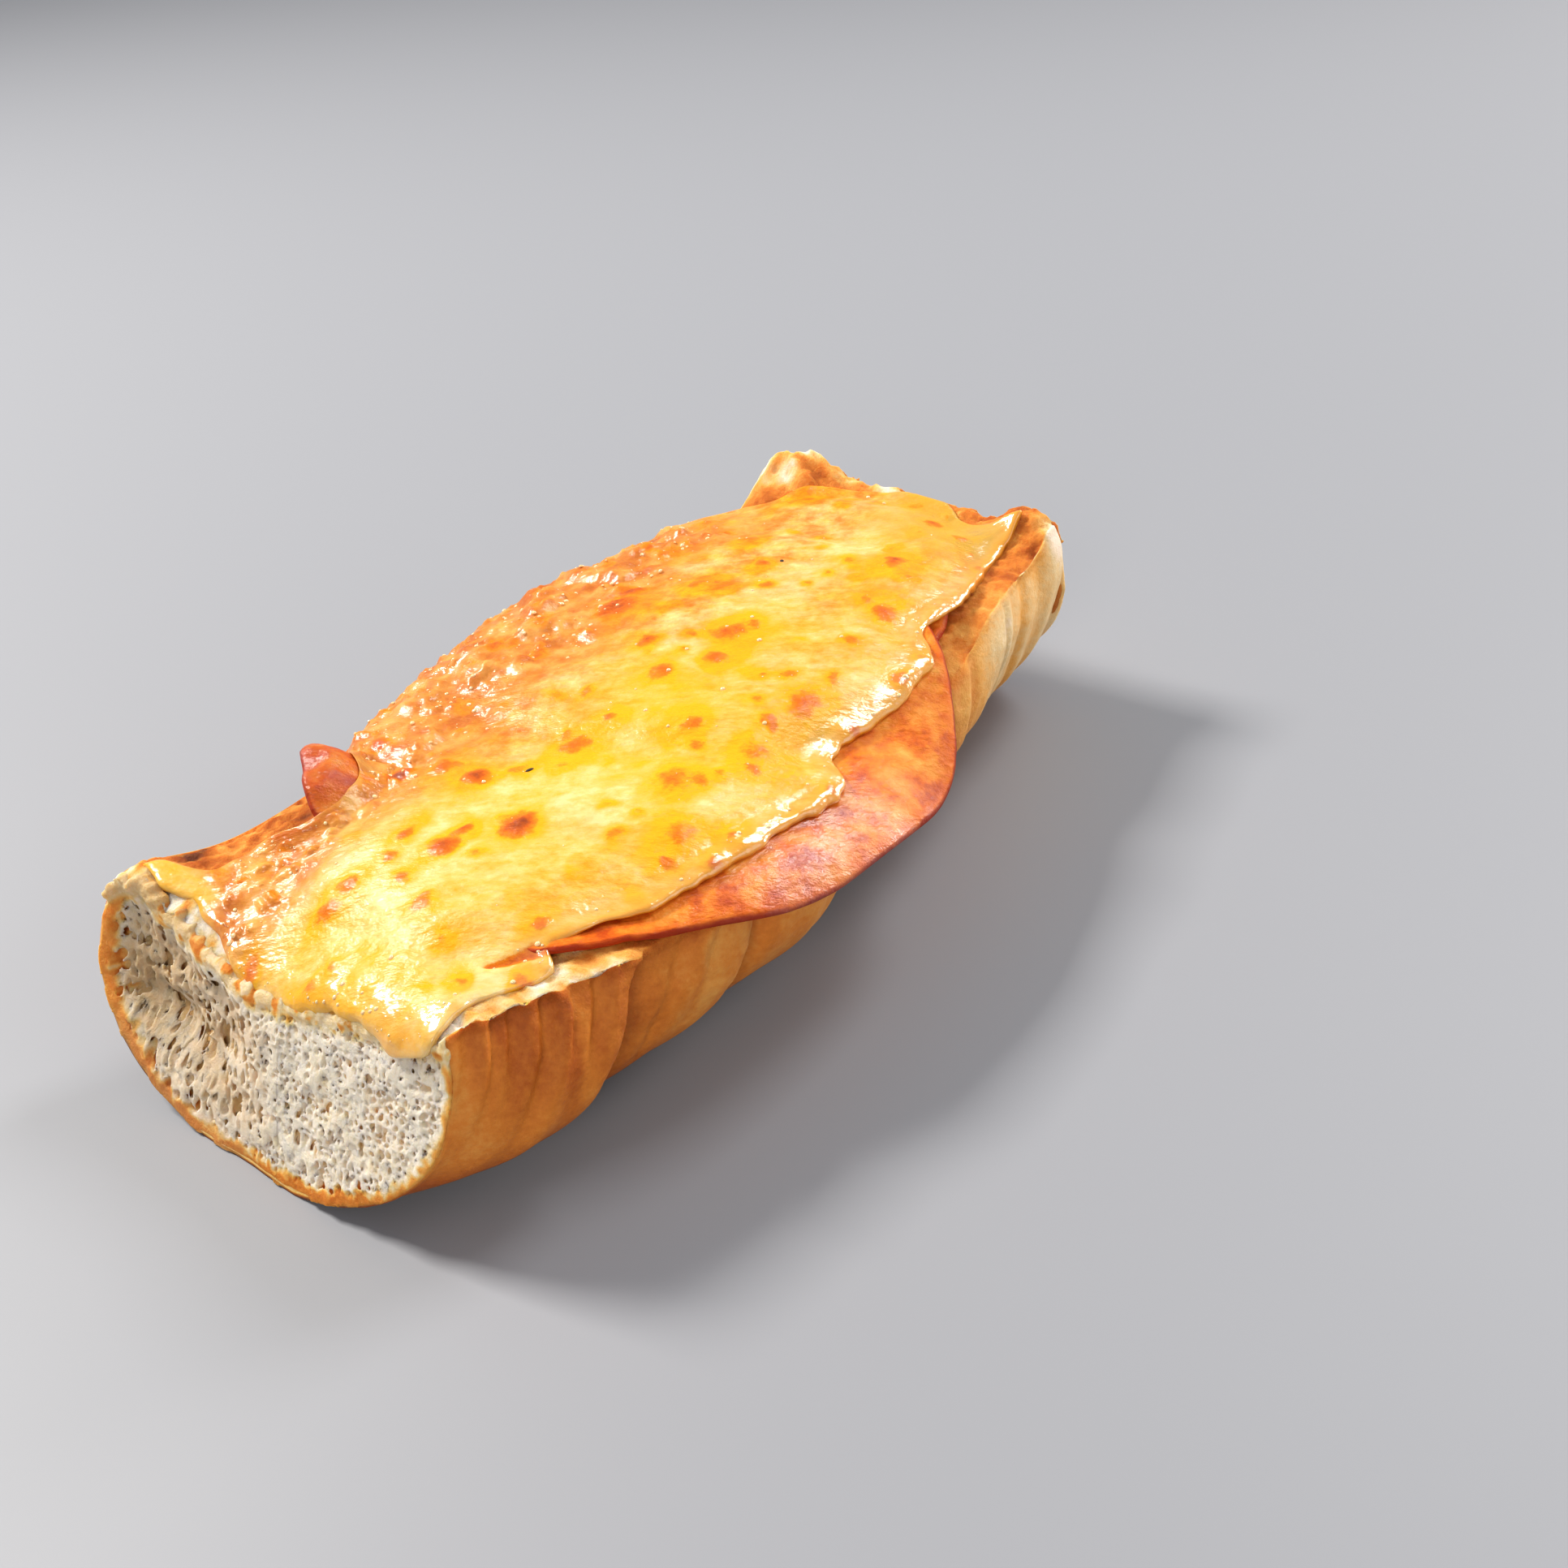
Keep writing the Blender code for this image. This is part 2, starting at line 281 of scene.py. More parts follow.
def ramp(tree, number, *stops):
    """Colours along a number: each stop is a place and a colour."""
    node = tree.nodes.new("ShaderNodeValToRGB")
    join(tree, number, node.inputs["Fac"])
    marks = node.color_ramp.elements
    while len(marks) < len(stops):
        marks.new(0.5)
    for mark, (place, colour) in zip(marks, stops):
        mark.position = place
        mark.color = (*colour, 1)
    return node.outputs["Color"]


def blend_colours(tree, share, first, second, kind="MIX"):
    """Mixes two colours by a share."""
    node = tree.nodes.new("ShaderNodeMix")
    node.data_type = "RGBA"
    node.blend_type = kind
    join(tree, share, node.inputs[0])
    for source, target in ((first, node.inputs[6]), (second, node.inputs[7])):
        join(tree, (*source, 1) if isinstance(source, tuple) else source, target)
    return node.outputs[2]


def sharpened(tree, number, noise_number, middle, steepness, ragged):
    """0 to 1 with a crisp ragged edge: the number plus some noise, less a middle, times a steepness,
    clipped."""
    shifted = sums(
        tree, "ADD", number, sums(tree, "MULTIPLY_ADD", noise_number, ragged, -middle - ragged / 2)
    )
    share = sums(tree, "MULTIPLY_ADD", shifted, steepness, 0.5)
    share.node.use_clamp = True
    return share


def raised(tree, shader, height, distance, strength=1.0):
    """Bump from a height, in metres."""
    node = tree.nodes.new("ShaderNodeBump")
    node.inputs["Distance"].default_value = distance
    node.inputs["Strength"].default_value = strength
    join(tree, height, node.inputs["Height"])
    join(tree, node.outputs["Normal"], shader.inputs["Normal"])
    join(tree, node.outputs["Normal"], shader.inputs["Coat Normal"])


# %% [markdown]
# ## The roll's shape
#
# The roll was cut lengthwise, so its cross section is a D lying on its back: a nearly flat cut face on top
# and a round crust below. Its front edge swells in the middle, its back edge waves, and in the oven the
# crust drew into folds, each lobe standing proud of the next. The same formulas give the solid in the
# frame; here they gain fine pleats and a torn rim.

# %% The roll's measures
FACE_LENGTH = 149 * MM
ROLL_DEPTH = 33.5 * MM
BASE_FLAT = 0.9 * MM
NEAR_END_X = -FACE_LENGTH / 2
FAR_END_X = FACE_LENGTH / 2
NEAR_END_SLANT = np.tan(np.radians(20))
FRONT_FOLDS = (
    (-46.5 * MM, 5.0 * MM), (-26 * MM, 3.4 * MM), (-6 * MM, 2.6 * MM), (24 * MM, 1.8 * MM),
    (50 * MM, 1.2 * MM),
)
PLEATS = (
    (-71.4 * MM, 0.7), (-67.6 * MM, 1.2), (-64.7 * MM, 1.1), (-59.9 * MM, 1.3), (-56.5 * MM, 1.0),
    (-52.4 * MM, 1.1), (-49.4 * MM, 0.6),
)
BACK_FOLDS = ((-52 * MM, 1.8 * MM), (-14 * MM, 2.2 * MM), (22 * MM, 1.8 * MM), (51 * MM, 1.4 * MM))


def front_edge(x):
    """y of the front edge: a straight taper and one long swelling, shorter towards the near end."""
    reach = np.where(x < -18 * MM, 42 * MM, 68 * MM)
    rounded_corner = 2.6 * MM * bell(x + 77 * MM, 7 * MM)
    first_lobe = 1.5 * MM * bell(x + 49.5 * MM, 4.5 * MM)
    return (
        rounded_corner - first_lobe
        - (32 * MM - 2 * MM * x / FACE_LENGTH + 15 * MM * bell(x + 18 * MM, reach))
    )


def back_edge(x):
    """y of the back edge: one long cosine wave, and a flare at the near end."""
    wave = 4.2 * MM * np.cos(2 * np.pi * (x - 10 * MM) / (120 * MM))
    return 30.6 * MM + wave + 5 * MM * bell(x - NEAR_END_X, 9 * MM)


def bed(x, y):
    """Height of the toasted face and of what drapes past it: soft humps, less a hinge beyond each edge."""
    inside = np.clip(x, NEAR_END_X, FAR_END_X)
    dip = -5 * MM * bell(inside - NEAR_END_X, 17 * MM) * bell(y - 2 * MM, 19 * MM)
    crest = (
        7.5 * MM * np.sqrt(bell(x - 70 * MM, 5.5 * MM) * bell(y - 22 * MM, 8 * MM))
        * smooth_step(1.6 - np.hypot((x - 70 * MM) / (8 * MM), (y - 22 * MM) / (11 * MM)))
    )
    crest = crest * (1 + 0.30 * noise(7, 5 * MM, x, y, octaves=2) + 0.05 * noise(9, 1.8 * MM, x, y))
    crest = crest + 6.5 * MM * bell(x - 73 * MM, 6.5 * MM) * bell(y + 29 * MM, 8 * MM)
    crest = crest + 2.6 * MM * bell(x + 76 * MM, 22 * MM) * bell(y - 31 * MM, 9 * MM)
    crest = (
        crest
        + (3.0 * MM + 0.8 * MM * noise(10, 3.2 * MM, x, y, octaves=2)) * bell(x - 75 * MM, 5 * MM)
        * smooth_step((y + 22 * MM) / (8 * MM)) * smooth_step((26 * MM - y) / (8 * MM))
    )
    near_rim = smooth_step((-46 * MM - x) / (4 * MM)) * bell(y - front_edge(x), 2.6 * MM)
    crest = crest + 0.8 * MM * noise(8, 3.4 * MM, x) * near_rim
    crest = crest + 2.6 * MM * bell(x + 73 * MM, 9 * MM) * bell(y + 36 * MM, 7 * MM)
    sag = -2.5 * MM * bell(x + 12 * MM, 34 * MM) * bell(y + 46 * MM, 16 * MM)
    swell = 0.7 * MM * np.sin(x / (11 * MM) + 0.6) * np.cos(y / (13 * MM))
    crisp = smooth_step((-44 * MM - x) / (10 * MM)) + smooth_step((x - 36 * MM) / (10 * MM))
    sides = hinge(front_edge(x) - y, 5 * MM - 3.6 * MM * crisp) + hinge(y - back_edge(x), 5 * MM)
    ends = 1.7 * hinge(np.abs(x) - FACE_LENGTH / 2, 2.4 * MM)
    return dip + crest + sag + swell - sides - ends


def folds(x, places):
    """How far the crust is drawn in: at each fold a sharp step down, then a slow recovery."""
    drawn = np.zeros_like(x)
    for place, depth in places:
        past = x - place
        drawn += depth * np.where(past > 0, np.exp(-past / (9 * MM)), np.exp(past / (1.6 * MM)))
    return drawn


print(
    "widths at the ends and the middle in mm:",
    [round(1000 * float(back_edge(x) - front_edge(x)), 1) for x in (-0.07, 0.0, 0.07)]
)

# %% [markdown]
# ## The crust and the toasted face
#
# The crust is one skin carried along the roll: a ring of points goes under the roll from the front edge to
# the back edge and returns over the toasted face. Near the open end the front crust is gathered into
# pleats, like cloth drawn by a thread, because the thin crust shrank over a soft crumb. At both ends the
# skin turns inwards as a thin wall and closes in a cone behind the place where the open crumb will sit.


# %% The crust's fine relief
def pleats(x, angle):
    """Inward depth of the gathers: short bells at the near end's pleats, and long soft folds of noise
    everywhere.

    The noise is read along the roll and hardly at all down the crust, so the folds stand upright; all fade
    downwards."""
    near = smooth_step((x + 77 * MM) / (4 * MM)) * smooth_step((-43.5 * MM - x) / (3 * MM))
    gathers = np.zeros_like(x)
    for place, depth in PLEATS:
        wander = 0.5 * MM * noise(6, 9 * MM, angle * 30 * MM + place)
        gathers += (
            depth * MM * bell(x - place - wander, (1.15 + 0.9 * angle) * MM)
            * smooth_step((0.42 + 0.24 * depth - angle) / 0.5)
        )
    soft = noise(4, 3.6 * MM, x, angle * 2.6 * MM)
    crease = bell(noise(16, 9 * MM, x, angle * 3 * MM, octaves=2), 0.20)
    fade = smooth_step((angle + 0.05) / 0.12) * smooth_step((1.35 - angle) / 1.2)
    return (
        fade
        * (
            1.5 * gathers * near + 0.9 * MM * soft
            + (1 - near) * 0.5 * MM * (crease - 0.3) * (1 + 0.9 * noise(17, 14 * MM, x))
        )
    )


def crust(x, angle):
    """Points of the crust: angle runs from 0 at the front edge, under the roll, to pi at the back edge.

    y is a cosine across the roll plus a sine of twice the angle, which bulges both sides; z falls as a power
    of the sine; folds, pleats and noise then move the sides in and out."""
    front, back = front_edge(x), back_edge(x)
    half = (back - front) / 2
    side = np.where(angle < np.pi / 2, 6.5 * MM, 8.5 * MM)
    y = (front + back) / 2 - half * np.cos(angle) - side * np.sin(2 * angle) + 2.4 * MM * np.sin(angle) ** 2
    fall = np.clip(np.sin(angle), 0, 1) ** 1.2
    z = bed(x, np.where(angle < np.pi / 2, front, back)) * (1 - fall) - ROLL_DEPTH * fall
    leaned = x - (0.21 + 0.10 * bell(x + 48 * MM, 14 * MM)) * z + 1.0 * MM * noise(5, 12 * MM, z, x)
    front_share = smooth_step(angle / 0.2) * smooth_step((1.5 - angle) / 1.1)
    back_share = smooth_step((np.pi - angle) / 0.3) * smooth_step((angle - 1.64) / 1.1)
    rim_fold = 0.32 * folds(x, FRONT_FOLDS) * bell(angle, 0.35)
    y = (
        y + folds(leaned, FRONT_FOLDS) * front_share + rim_fold * (1 - front_share)
        - folds(leaned, BACK_FOLDS) * back_share
    )
    first_lobe = (
        smooth_step((leaned + 74 * MM) / (18 * MM)) * smooth_step((-45.1 * MM - leaned) / (2.6 * MM))
    )
    y = y - 3.2 * MM * first_lobe * np.clip(np.sin(2 * angle), 0, 1) * (angle < np.pi / 2)
    y = y + pleats(leaned, angle)
    around = angle * 36 * MM
    puckers = (
        0.5 * MM * noise(11, 9 * MM, x, around) + 0.16 * MM * noise(12, 2.2 * MM, x, around, octaves=2)
    )
    away = np.sin(angle) * smooth_step(np.minimum(angle, np.pi - angle) / 0.2)
    y = y + puckers * np.cos(angle) * smooth_step(np.minimum(angle, np.pi - angle) / 0.2)
    z = z - np.minimum(puckers, 0) * away
    return y, z


def torn_back(y, z):
    """How far the near end's crumb has broken away: a ragged notch under the cheese, shallow elsewhere."""
    notch = smooth_step((z + 9 * MM) / (7 * MM)) * bell(y - 9 * MM, 15 * MM)
    ragged = 0.6 + 0.4 * noise(21, 6 * MM, y, z, octaves=2)
    return 3.6 * MM * notch * ragged + 0.35 * MM * (1 + noise(22, 7 * MM, y, z, octaves=2))


def tucked(x, depth, y, z):
    """Points of an end's crumb, its deep points drawn in so that they stay inside the crust where the roll
    narrows.

    The back moves in by 0.55 of the depth, the front by 0.3 of that, and the bottom moves up by 0.6 of
    that."""
    drawn_in = 0.55 * np.maximum(depth, 0)
    side = np.sign(y) * smooth_step((np.abs(y) - 5 * MM) / (20 * MM)) * np.where(y > 0, 1, 0.3)
    lift = 0.6 * smooth_step((-15 * MM - z) / (10 * MM))
    return np.stack([x, y - drawn_in * side, z + drawn_in * lift], axis=-1)


# %% [markdown]
# ## Rings of skin
#
# The crust's angles and the face's shares are both plain grids, so a ring is the one joined to the other.
# The rings could be made one by one in a loop, but numpy works out all of them in one go. The near end
# leans back, and its rings are moved along by the slant and by what was torn away.

# %% Rings along the roll
STATIONS, UNDER_POINTS, OVER_POINTS = 331, 151, 98
stations = FACE_LENGTH * (np.linspace(0, 1, STATIONS) - 0.5)
under_angles = np.linspace(0, np.pi, UNDER_POINTS)
over_shares = crowded(OVER_POINTS, 0.6)[1:-1]

x, angle = np.meshgrid(stations, under_angles, indexing="ij")
under_y, under_z = crust(x, angle)
x_over, share = np.meshgrid(stations, over_shares, indexing="ij")
front_rim = front_edge(x_over) + 0.32 * folds(x_over, FRONT_FOLDS)
over_y = back_edge(x_over) + (front_rim - back_edge(x_over)) * share
crumbs = noise(14, 1.4 * MM, x_over, over_y, octaves=3) + 0.6 * noise(15, 4 * MM, x_over, over_y)
torn_band = smooth_step((-47 * MM - x_over) / (3 * MM)) * smooth_step((-24 * MM - over_y) / (5 * MM))
end_zone = smooth_step((-67 * MM - x_over) / (4 * MM)) + smooth_step((x_over - 63 * MM) / (4 * MM))
grainy = (
    0.35 + 0.65 * (x_over > 30 * MM) + 0.9 * torn_band + 1.0 * (x_over < -40 * MM) * (over_y > 16 * MM)
    + 1.1 * end_zone
)
over_z = bed(x_over, over_y) + 0.45 * MM * crumbs * grainy - 0.15 * MM
ring_x = np.concatenate([x, x_over], axis=1)
ring_y = np.concatenate([under_y, over_y], axis=1)
ring_z = np.concatenate([under_z, over_z], axis=1)
ring_z = np.maximum(ring_z, -ROLL_DEPTH + BASE_FLAT)
slant = NEAR_END_SLANT * np.clip(-2 * ring_x / FACE_LENGTH, 0, 1)
settling = 1 - smooth_step((ring_x - NEAR_END_X) / (7 * MM))
ring_x = ring_x + slant * ring_z + (torn_back(ring_y, ring_z) + 0.2 * MM) * settling
rings = np.stack([ring_x, ring_y, ring_z], axis=-1)
ring_angle = np.concatenate([angle, np.full_like(x_over, -1)], axis=1)
print("one ring has", rings.shape[1], "points and there are", len(rings), "rings")


# %% [markdown]
# ## The skin's two ends
#
# An end could be closed flat, but open crumb will sit there, so the skin turns in as a thin wall and then
# shrinks to a point further inside. The wall narrows a little as it goes in, because the roll does too, and
# would otherwise come out through the crust's side.

# %% Walls and caps
WALL_THICK = 0.9 * MM
WALL_LENGTH = 4.5 * MM
WALL_NARROWS = 0.91
CONE_LENGTH = 13 * MM
CONE_SHARES = (0.8, 0.6, 0.3, 0.1)


def end_rings(ring, inwards):
    """Rings that close an end: a thin wall turned in and narrowed, then rings that shrink to one point."""
    middle = np.array([ring[:, 0].mean(), ring[:, 1].mean(), -13 * MM])
    out = ring - middle
    length = np.linalg.norm(out[:, 1:], axis=1, keepdims=True)
    inner = middle + out * np.array([1, 0, 0]) + out * np.array([0, 1, 1]) * (1 - WALL_THICK / length)
    deep = inner + np.array([inwards * WALL_LENGTH, 0, 0])
    deep[:, 1:] = middle[1:] + (inner[:, 1:] - middle[1:]) * WALL_NARROWS
    centre = deep.mean(axis=0)
    shrunk = [centre + (deep - centre) * share for share in CONE_SHARES]
    for cap, share in zip(shrunk, CONE_SHARES):
        cap[:, 0] += inwards * CONE_LENGTH * (1 - share)
    centre = centre + np.array([inwards * CONE_LENGTH, 0, 0])
    return [inner, deep, *shrunk], centre


near_rings, near_centre = end_rings(rings[0], 1)
far_rings, far_centre = end_rings(rings[-1], -1)
skin = np.stack([*near_rings[::-1], *rings, *far_rings])
rows, around = skin.shape[:2]
body_points = np.concatenate([skin.reshape(-1, 3), near_centre[None], far_centre[None]])
body_faces = grid_faces(rows, around, closed=True)
column = np.arange(around)
following = (column + 1) % around
near_fan = np.stack([np.full(around, rows * around), following, column, column], axis=-1)
last_row = (rows - 1) * around
far_fan = np.stack(
    [
        np.full(around, rows * around + 1), last_row + column, last_row + following, last_row + following
    ],
    axis=-1
)
body_faces = np.concatenate([body_faces, near_fan, far_fan])
print("the skin has", len(body_points), "points and", len(body_faces), "faces")

# %% [markdown]
# ## Which way faces point
#
# Blender shades a face by the order of its corners, so a closed skin wound the wrong way is inside out.
# Blender's own tool can recalculate normals; here the sign of the volume, summed over the faces, says it
# without a mesh.


# %% Which way the skin faces
def facing_out(points, faces):
    """Turns every face round if the whole closed shape holds a negative volume, by the sum of its corner
    products."""
    a, b, c, d = (points[faces[:, corner]] for corner in range(4))
    volume = np.einsum("ij,ij->", a, np.cross(b, c)) + np.einsum("ij,ij->", a, np.cross(c, d))
    if volume < 0:
        faces = np.where((faces[:, 3] == faces[:, 2])[:, None], faces[:, [1, 0, 2, 2]], faces[:, ::-1])
    return faces


body_faces = facing_out(body_points, body_faces)
print("the skin faces outwards")

# %% [markdown]
# ## How deeply the roll is baked, and where shade is painted
#
# Bake is one number from 0, white crumb, to 1, dark toast, and on the crust it also carries painted shade
# and painted light. The crust is a little darker on the near lobe; it is darker towards its bottom, partly
# real browning and partly painted shade where the shadow falls; it is darker in the valleys of its pleats,
# which is painted shade; and it is painted paler towards the far end, which is painted light from the side.
# It scorches along the cut's sharp rim. The toasted face is mottled at random.

# %% Bake numbers for the skin, with painted shade and light
lengthwise, angles = ring_x, ring_angle
on_crust = angles >= 0
near_lobe = smooth_step((-44 * MM - lengthwise) / (8 * MM))
height = (ring_z + ROLL_DEPTH) / ROLL_DEPTH
crust_bake = 0.48 + 0.06 * near_lobe + 0.05 * noise(31, 26 * MM, lengthwise, angles * 30 * MM)
crust_bake += 0.05 * noise(37, 4.5 * MM, lengthwise, angles * 7 * MM, octaves=2)
crust_bake += 0.05 * noise(32, 6 * MM, lengthwise, angles * 30 * MM, octaves=2)
# Darker towards the bottom: partly real browning, partly painted shade where shadow falls. Paler towards the
# far end: painted light from the side.
crust_bake += (
    0.46 * smooth_step((0.52 - height) / 0.50) - 0.25 * smooth_step((lengthwise - 16 * MM) / (36 * MM))
)
rim = np.minimum(angles, np.pi - angles)
crust_bake += 0.10 * bell(rim, 0.10)
# Painted shade: darker in the valleys of the pleats.
crust_bake += 0.09 * np.clip(pleats(lengthwise - 0.21 * ring_z, np.clip(angles, 0, np.pi)) / MM, -0.5, 1.6)
face_bake = (
    0.52 + 0.22 * noise(33, 3 * MM, lengthwise, ring_y, octaves=3)
    + 0.12 * noise(34, 11 * MM, lengthwise, ring_y)
)
torn_white = smooth_step((-47 * MM - lengthwise) / (5 * MM)) * smooth_step((-22 * MM - ring_y) / (6 * MM))
face_bake -= 0.30 * torn_white * (0.9 + 0.9 * noise(35, 1.6 * MM, lengthwise, ring_y, octaves=2))
curled_flap = smooth_step((lengthwise - 62 * MM) / (5 * MM)) * smooth_step((ring_y - 14 * MM) / (6 * MM))
crust_bake -= 0.22 * curled_flap
face_bake -= 0.50 * curled_flap * (0.8 + 0.9 * noise(36, 2.6 * MM, lengthwise, ring_y, octaves=2))
back_strip = smooth_step((-40 * MM - lengthwise) / (8 * MM)) * smooth_step((ring_y - 17 * MM) / (4 * MM))
face_bake += (
    0.02 * back_strip * (1 + 8 * noise(38, 1.3 * MM, lengthwise, ring_y))
    + 0.34 * bell(np.hypot(lengthwise + 65.5 * MM, 1.4 * (ring_y - 28.5 * MM)), 3.0 * MM)
)
far_strip = smooth_step((lengthwise - 66 * MM) / (4 * MM)) * smooth_step((-6 * MM - ring_y) / (8 * MM))
face_bake += 0.18 * far_strip
far_crest = smooth_step((lengthwise - 70 * MM) / (3 * MM)) * smooth_step((ring_y + 14 * MM) / (6 * MM))
face_bake -= 0.26 * far_crest * (1 + 1.4 * noise(40, 2.2 * MM, lengthwise, ring_y, octaves=2))
end_lip = smooth_step((-70.5 * MM - lengthwise) / (2 * MM))
face_bake -= 0.40 * end_lip * (0.95 + 1.6 * noise(39, 1.7 * MM, lengthwise, ring_y, octaves=2))
torn_corner = bell(np.hypot(lengthwise - 72.5 * MM, ring_y + 33.5 * MM), 3.4 * MM)
face_bake -= 0.55 * torn_corner
crust_bake -= 0.45 * torn_corner * bell(rim, 0.25)
crust_bake += 0.05 * smooth_step((-66 * MM - lengthwise) / (5 * MM)) * (ring_y > 0) * bell(rim, 0.3)
bake = np.where(on_crust, crust_bake, face_bake)
open_face = np.where(on_crust, smooth_step((0.07 - rim) / 0.05), 1.0)

near_count, far_count = len(near_rings), len(far_rings)
inner_bake = np.where(on_crust[:1], 0.30, 0.10) + np.zeros((near_count, 1))
body_bake = np.concatenate([inner_bake, bake, np.full((far_count, around), 0.35)]).ravel()
body_open = np.concatenate([np.ones((near_count, around)), open_face, np.ones((far_count, around))]).ravel()
body_bake = np.concatenate([body_bake, [0.35, 0.35]])
body_open = np.concatenate([body_open, [1, 1]])
print("bake runs from", round(float(bake.min()), 2), "to", round(float(bake.max()), 2))

# %% [markdown]
# ## The bread's finish
#
# One finish serves crust, toasted face and crumb, because on a real roll they are one material baked to
# different depths. The bake number picks the colour, from cream through straw and golden tan to dark brown;
# on the crust and in the crumb's pores it also carries painted shade, and a second number mixes painted
# shade into the near crumb.
# Crust is smooth with a slight sheen; open crumb is rough and lets light soak in, which is what the
# subsurface share does.

# %% Mix the bread finish
bread_finish, tree, shader = new_finish(
    "baked bread", 0.6, Subsurface_Weight=0.12, Subsurface_Radius=(1.0, 0.8, 0.55), Subsurface_Scale=0.0020,
    Specular_IOR_Level=0.22
)
# The bake number carries painted shade as well as bake.
bake_number = number_of(tree, "bake")
speckle = sums(tree, "MULTIPLY_ADD", grain(tree, 900, 4, 0.65), 0.26, -0.13)
mottle = sums(tree, "MULTIPLY_ADD", grain(tree, 140, 3, 0.6), 0.16, -0.08)
baked = sums(tree, "ADD", sums(tree, "ADD", bake_number, speckle), mottle)
crumb_colour = (0.98, 0.78, 0.60)
bread_colour = ramp(
    tree,
    baked,
    (0.0, crumb_colour),
    (0.15, (0.82, 0.58, 0.28)),
    (0.34, (0.84, 0.40, 0.085)),
    (0.52, (0.70, 0.215, 0.024)),
    (0.70, (0.46, 0.100, 0.008)),
    (0.95, (0.13, 0.026, 0.004)),
)
# Painted shade: where this number is high, the colour is mixed towards dark brown.
bread_colour = blend_colours(
    tree, sums(tree, "MULTIPLY", number_of(tree, "painted_crumb_shade"), 0.85), bread_colour, (0.42, 0.26, 0.115)
)
join(tree, bread_colour, shader.inputs["Base Color"])
open_number = number_of(tree, "open_crumb")
rough_crumb = sums(tree, "MULTIPLY_ADD", open_number, 0.25, 0.50)
join(tree, rough_crumb, shader.inputs["Roughness"])
join(tree, sums(tree, "MULTIPLY_ADD", open_number, 0.55, 0.10), shader.inputs["Subsurface Weight"])
fine = sums(tree, "MULTIPLY", grain(tree, 1600, 4, 0.7), sums(tree, "MULTIPLY_ADD", open_number, 1.5, 0.75))
coarse = sums(tree, "MULTIPLY", grain(tree, 420, 3, 0.6), 0.8)
raised(tree, shader, sums(tree, "ADD", fine, coarse), 0.0004, 0.7)

add_piece(
    "bread_crust", body_points, body_faces, "bread", ["bread"], bread_finish, bake=body_bake,
    open_crumb=body_open
)

# %% [markdown]
# ## Open crumb
#
# Crumb is a foam: gas bubbles that grew until only thin walls and strands were left between them. A
# displaced grid can't make strands or pores that widen inside, so this one piece is made another way. A
# field is worked out on a fine three-dimensional lattice. It is negative inside bread, and the bread is the
# slab behind the cut, kept only along foam walls and struts, less some larger bubbles. Then a skin is laid
# where the field crosses zero: one point in each lattice cell that the surface passes through, and one quad
# for each lattice edge that it crosses. Crumbs that hang on nothing are turned to air first.


# %% Lay a skin on a field
def skin_of(field, low, step):
    """(points, faces) of the closed surface round the negative part of a field on a lattice.

    A cell's point is the mean of the places where the field is zero along the cell's edges."""
    field = np.pad(field, 1, constant_values=step)
    inside = field < 0
    shape = tuple(side - 1 for side in field.shape)
    total, crossings = np.zeros((*shape, 3)), np.zeros(shape)
    for axis in range(3):
        others = [other for other in range(3) if other != axis]
        for corner in range(4):
            offset = np.zeros(3, int)
            offset[others[0]], offset[others[1]] = corner & 1, corner >> 1
            start = tuple(slice(o, o + side) for o, side in zip(offset, shape))
            ahead = np.array(offset)
            ahead[axis] += 1
            end = tuple(slice(o, o + side) for o, side in zip(ahead, shape))
            crossed = inside[start] != inside[end]
            first, second = field[start], field[end]
            share = np.where(crossed, first / np.where(crossed, first - second, 1), 0)
            for direction in range(3):
                total[..., direction] += crossed * (offset[direction] + (share if direction == axis else 0))
            crossings += crossed
    used = crossings > 0
    number = np.full(shape, -1)
    number[used] = np.arange(used.sum())
    corner_place = np.argwhere(used)
    points = low + step * (corner_place - 1 + total[used] / crossings[used][:, None])
    faces = []
    for axis in range(3):
        b, c = [other for other in range(3) if other != axis]
        ahead = np.roll(inside, -1, axis)
        for leaving in (True, False):
            crossed = np.argwhere((inside & ~ahead) if leaving else (~inside & ahead))
            crossed = crossed[crossed[:, axis] < inside.shape[axis] - 1]
            corners = []
            for back_b, back_c in ((0, 0), (1, 0), (1, 1), (0, 1)):
                cell = crossed.copy()
                cell[:, b] -= back_b
                cell[:, c] -= back_c
                corners.append(number[tuple(cell.T)])
            quad = np.stack(corners, axis=-1)
            turned = leaving == (axis != 1)
            faces.append(quad if turned else quad[:, ::-1])
    return points, np.concatenate(faces)


def held_together(field, roots):
    """The field with every crumb of bread that doesn't hang together with the roots turned to air."""
    inside = field < 0
    held = inside & roots
    while True:
        grown = held.copy()
        for axis in range(3):
            for way in (1, -1):
                moved = np.roll(held, way, axis)
                edge = [slice(None)] * 3
                edge[axis] = 0 if way == 1 else -1
                moved[tuple(edge)] = False
                grown |= moved
        grown &= inside
        if (grown == held).all():
            return np.where(inside & ~held, np.abs(field) + 1e-6, field)
        held = grown


# %% [markdown]
# ## How far inside the crust
#
# The crumb is whole next to the crust and open further in, so each place needs its distance from the ring.
# A nearest point search on a mesh would do; the least distance over the ring's straight pieces is as exact
# and stays in numpy.


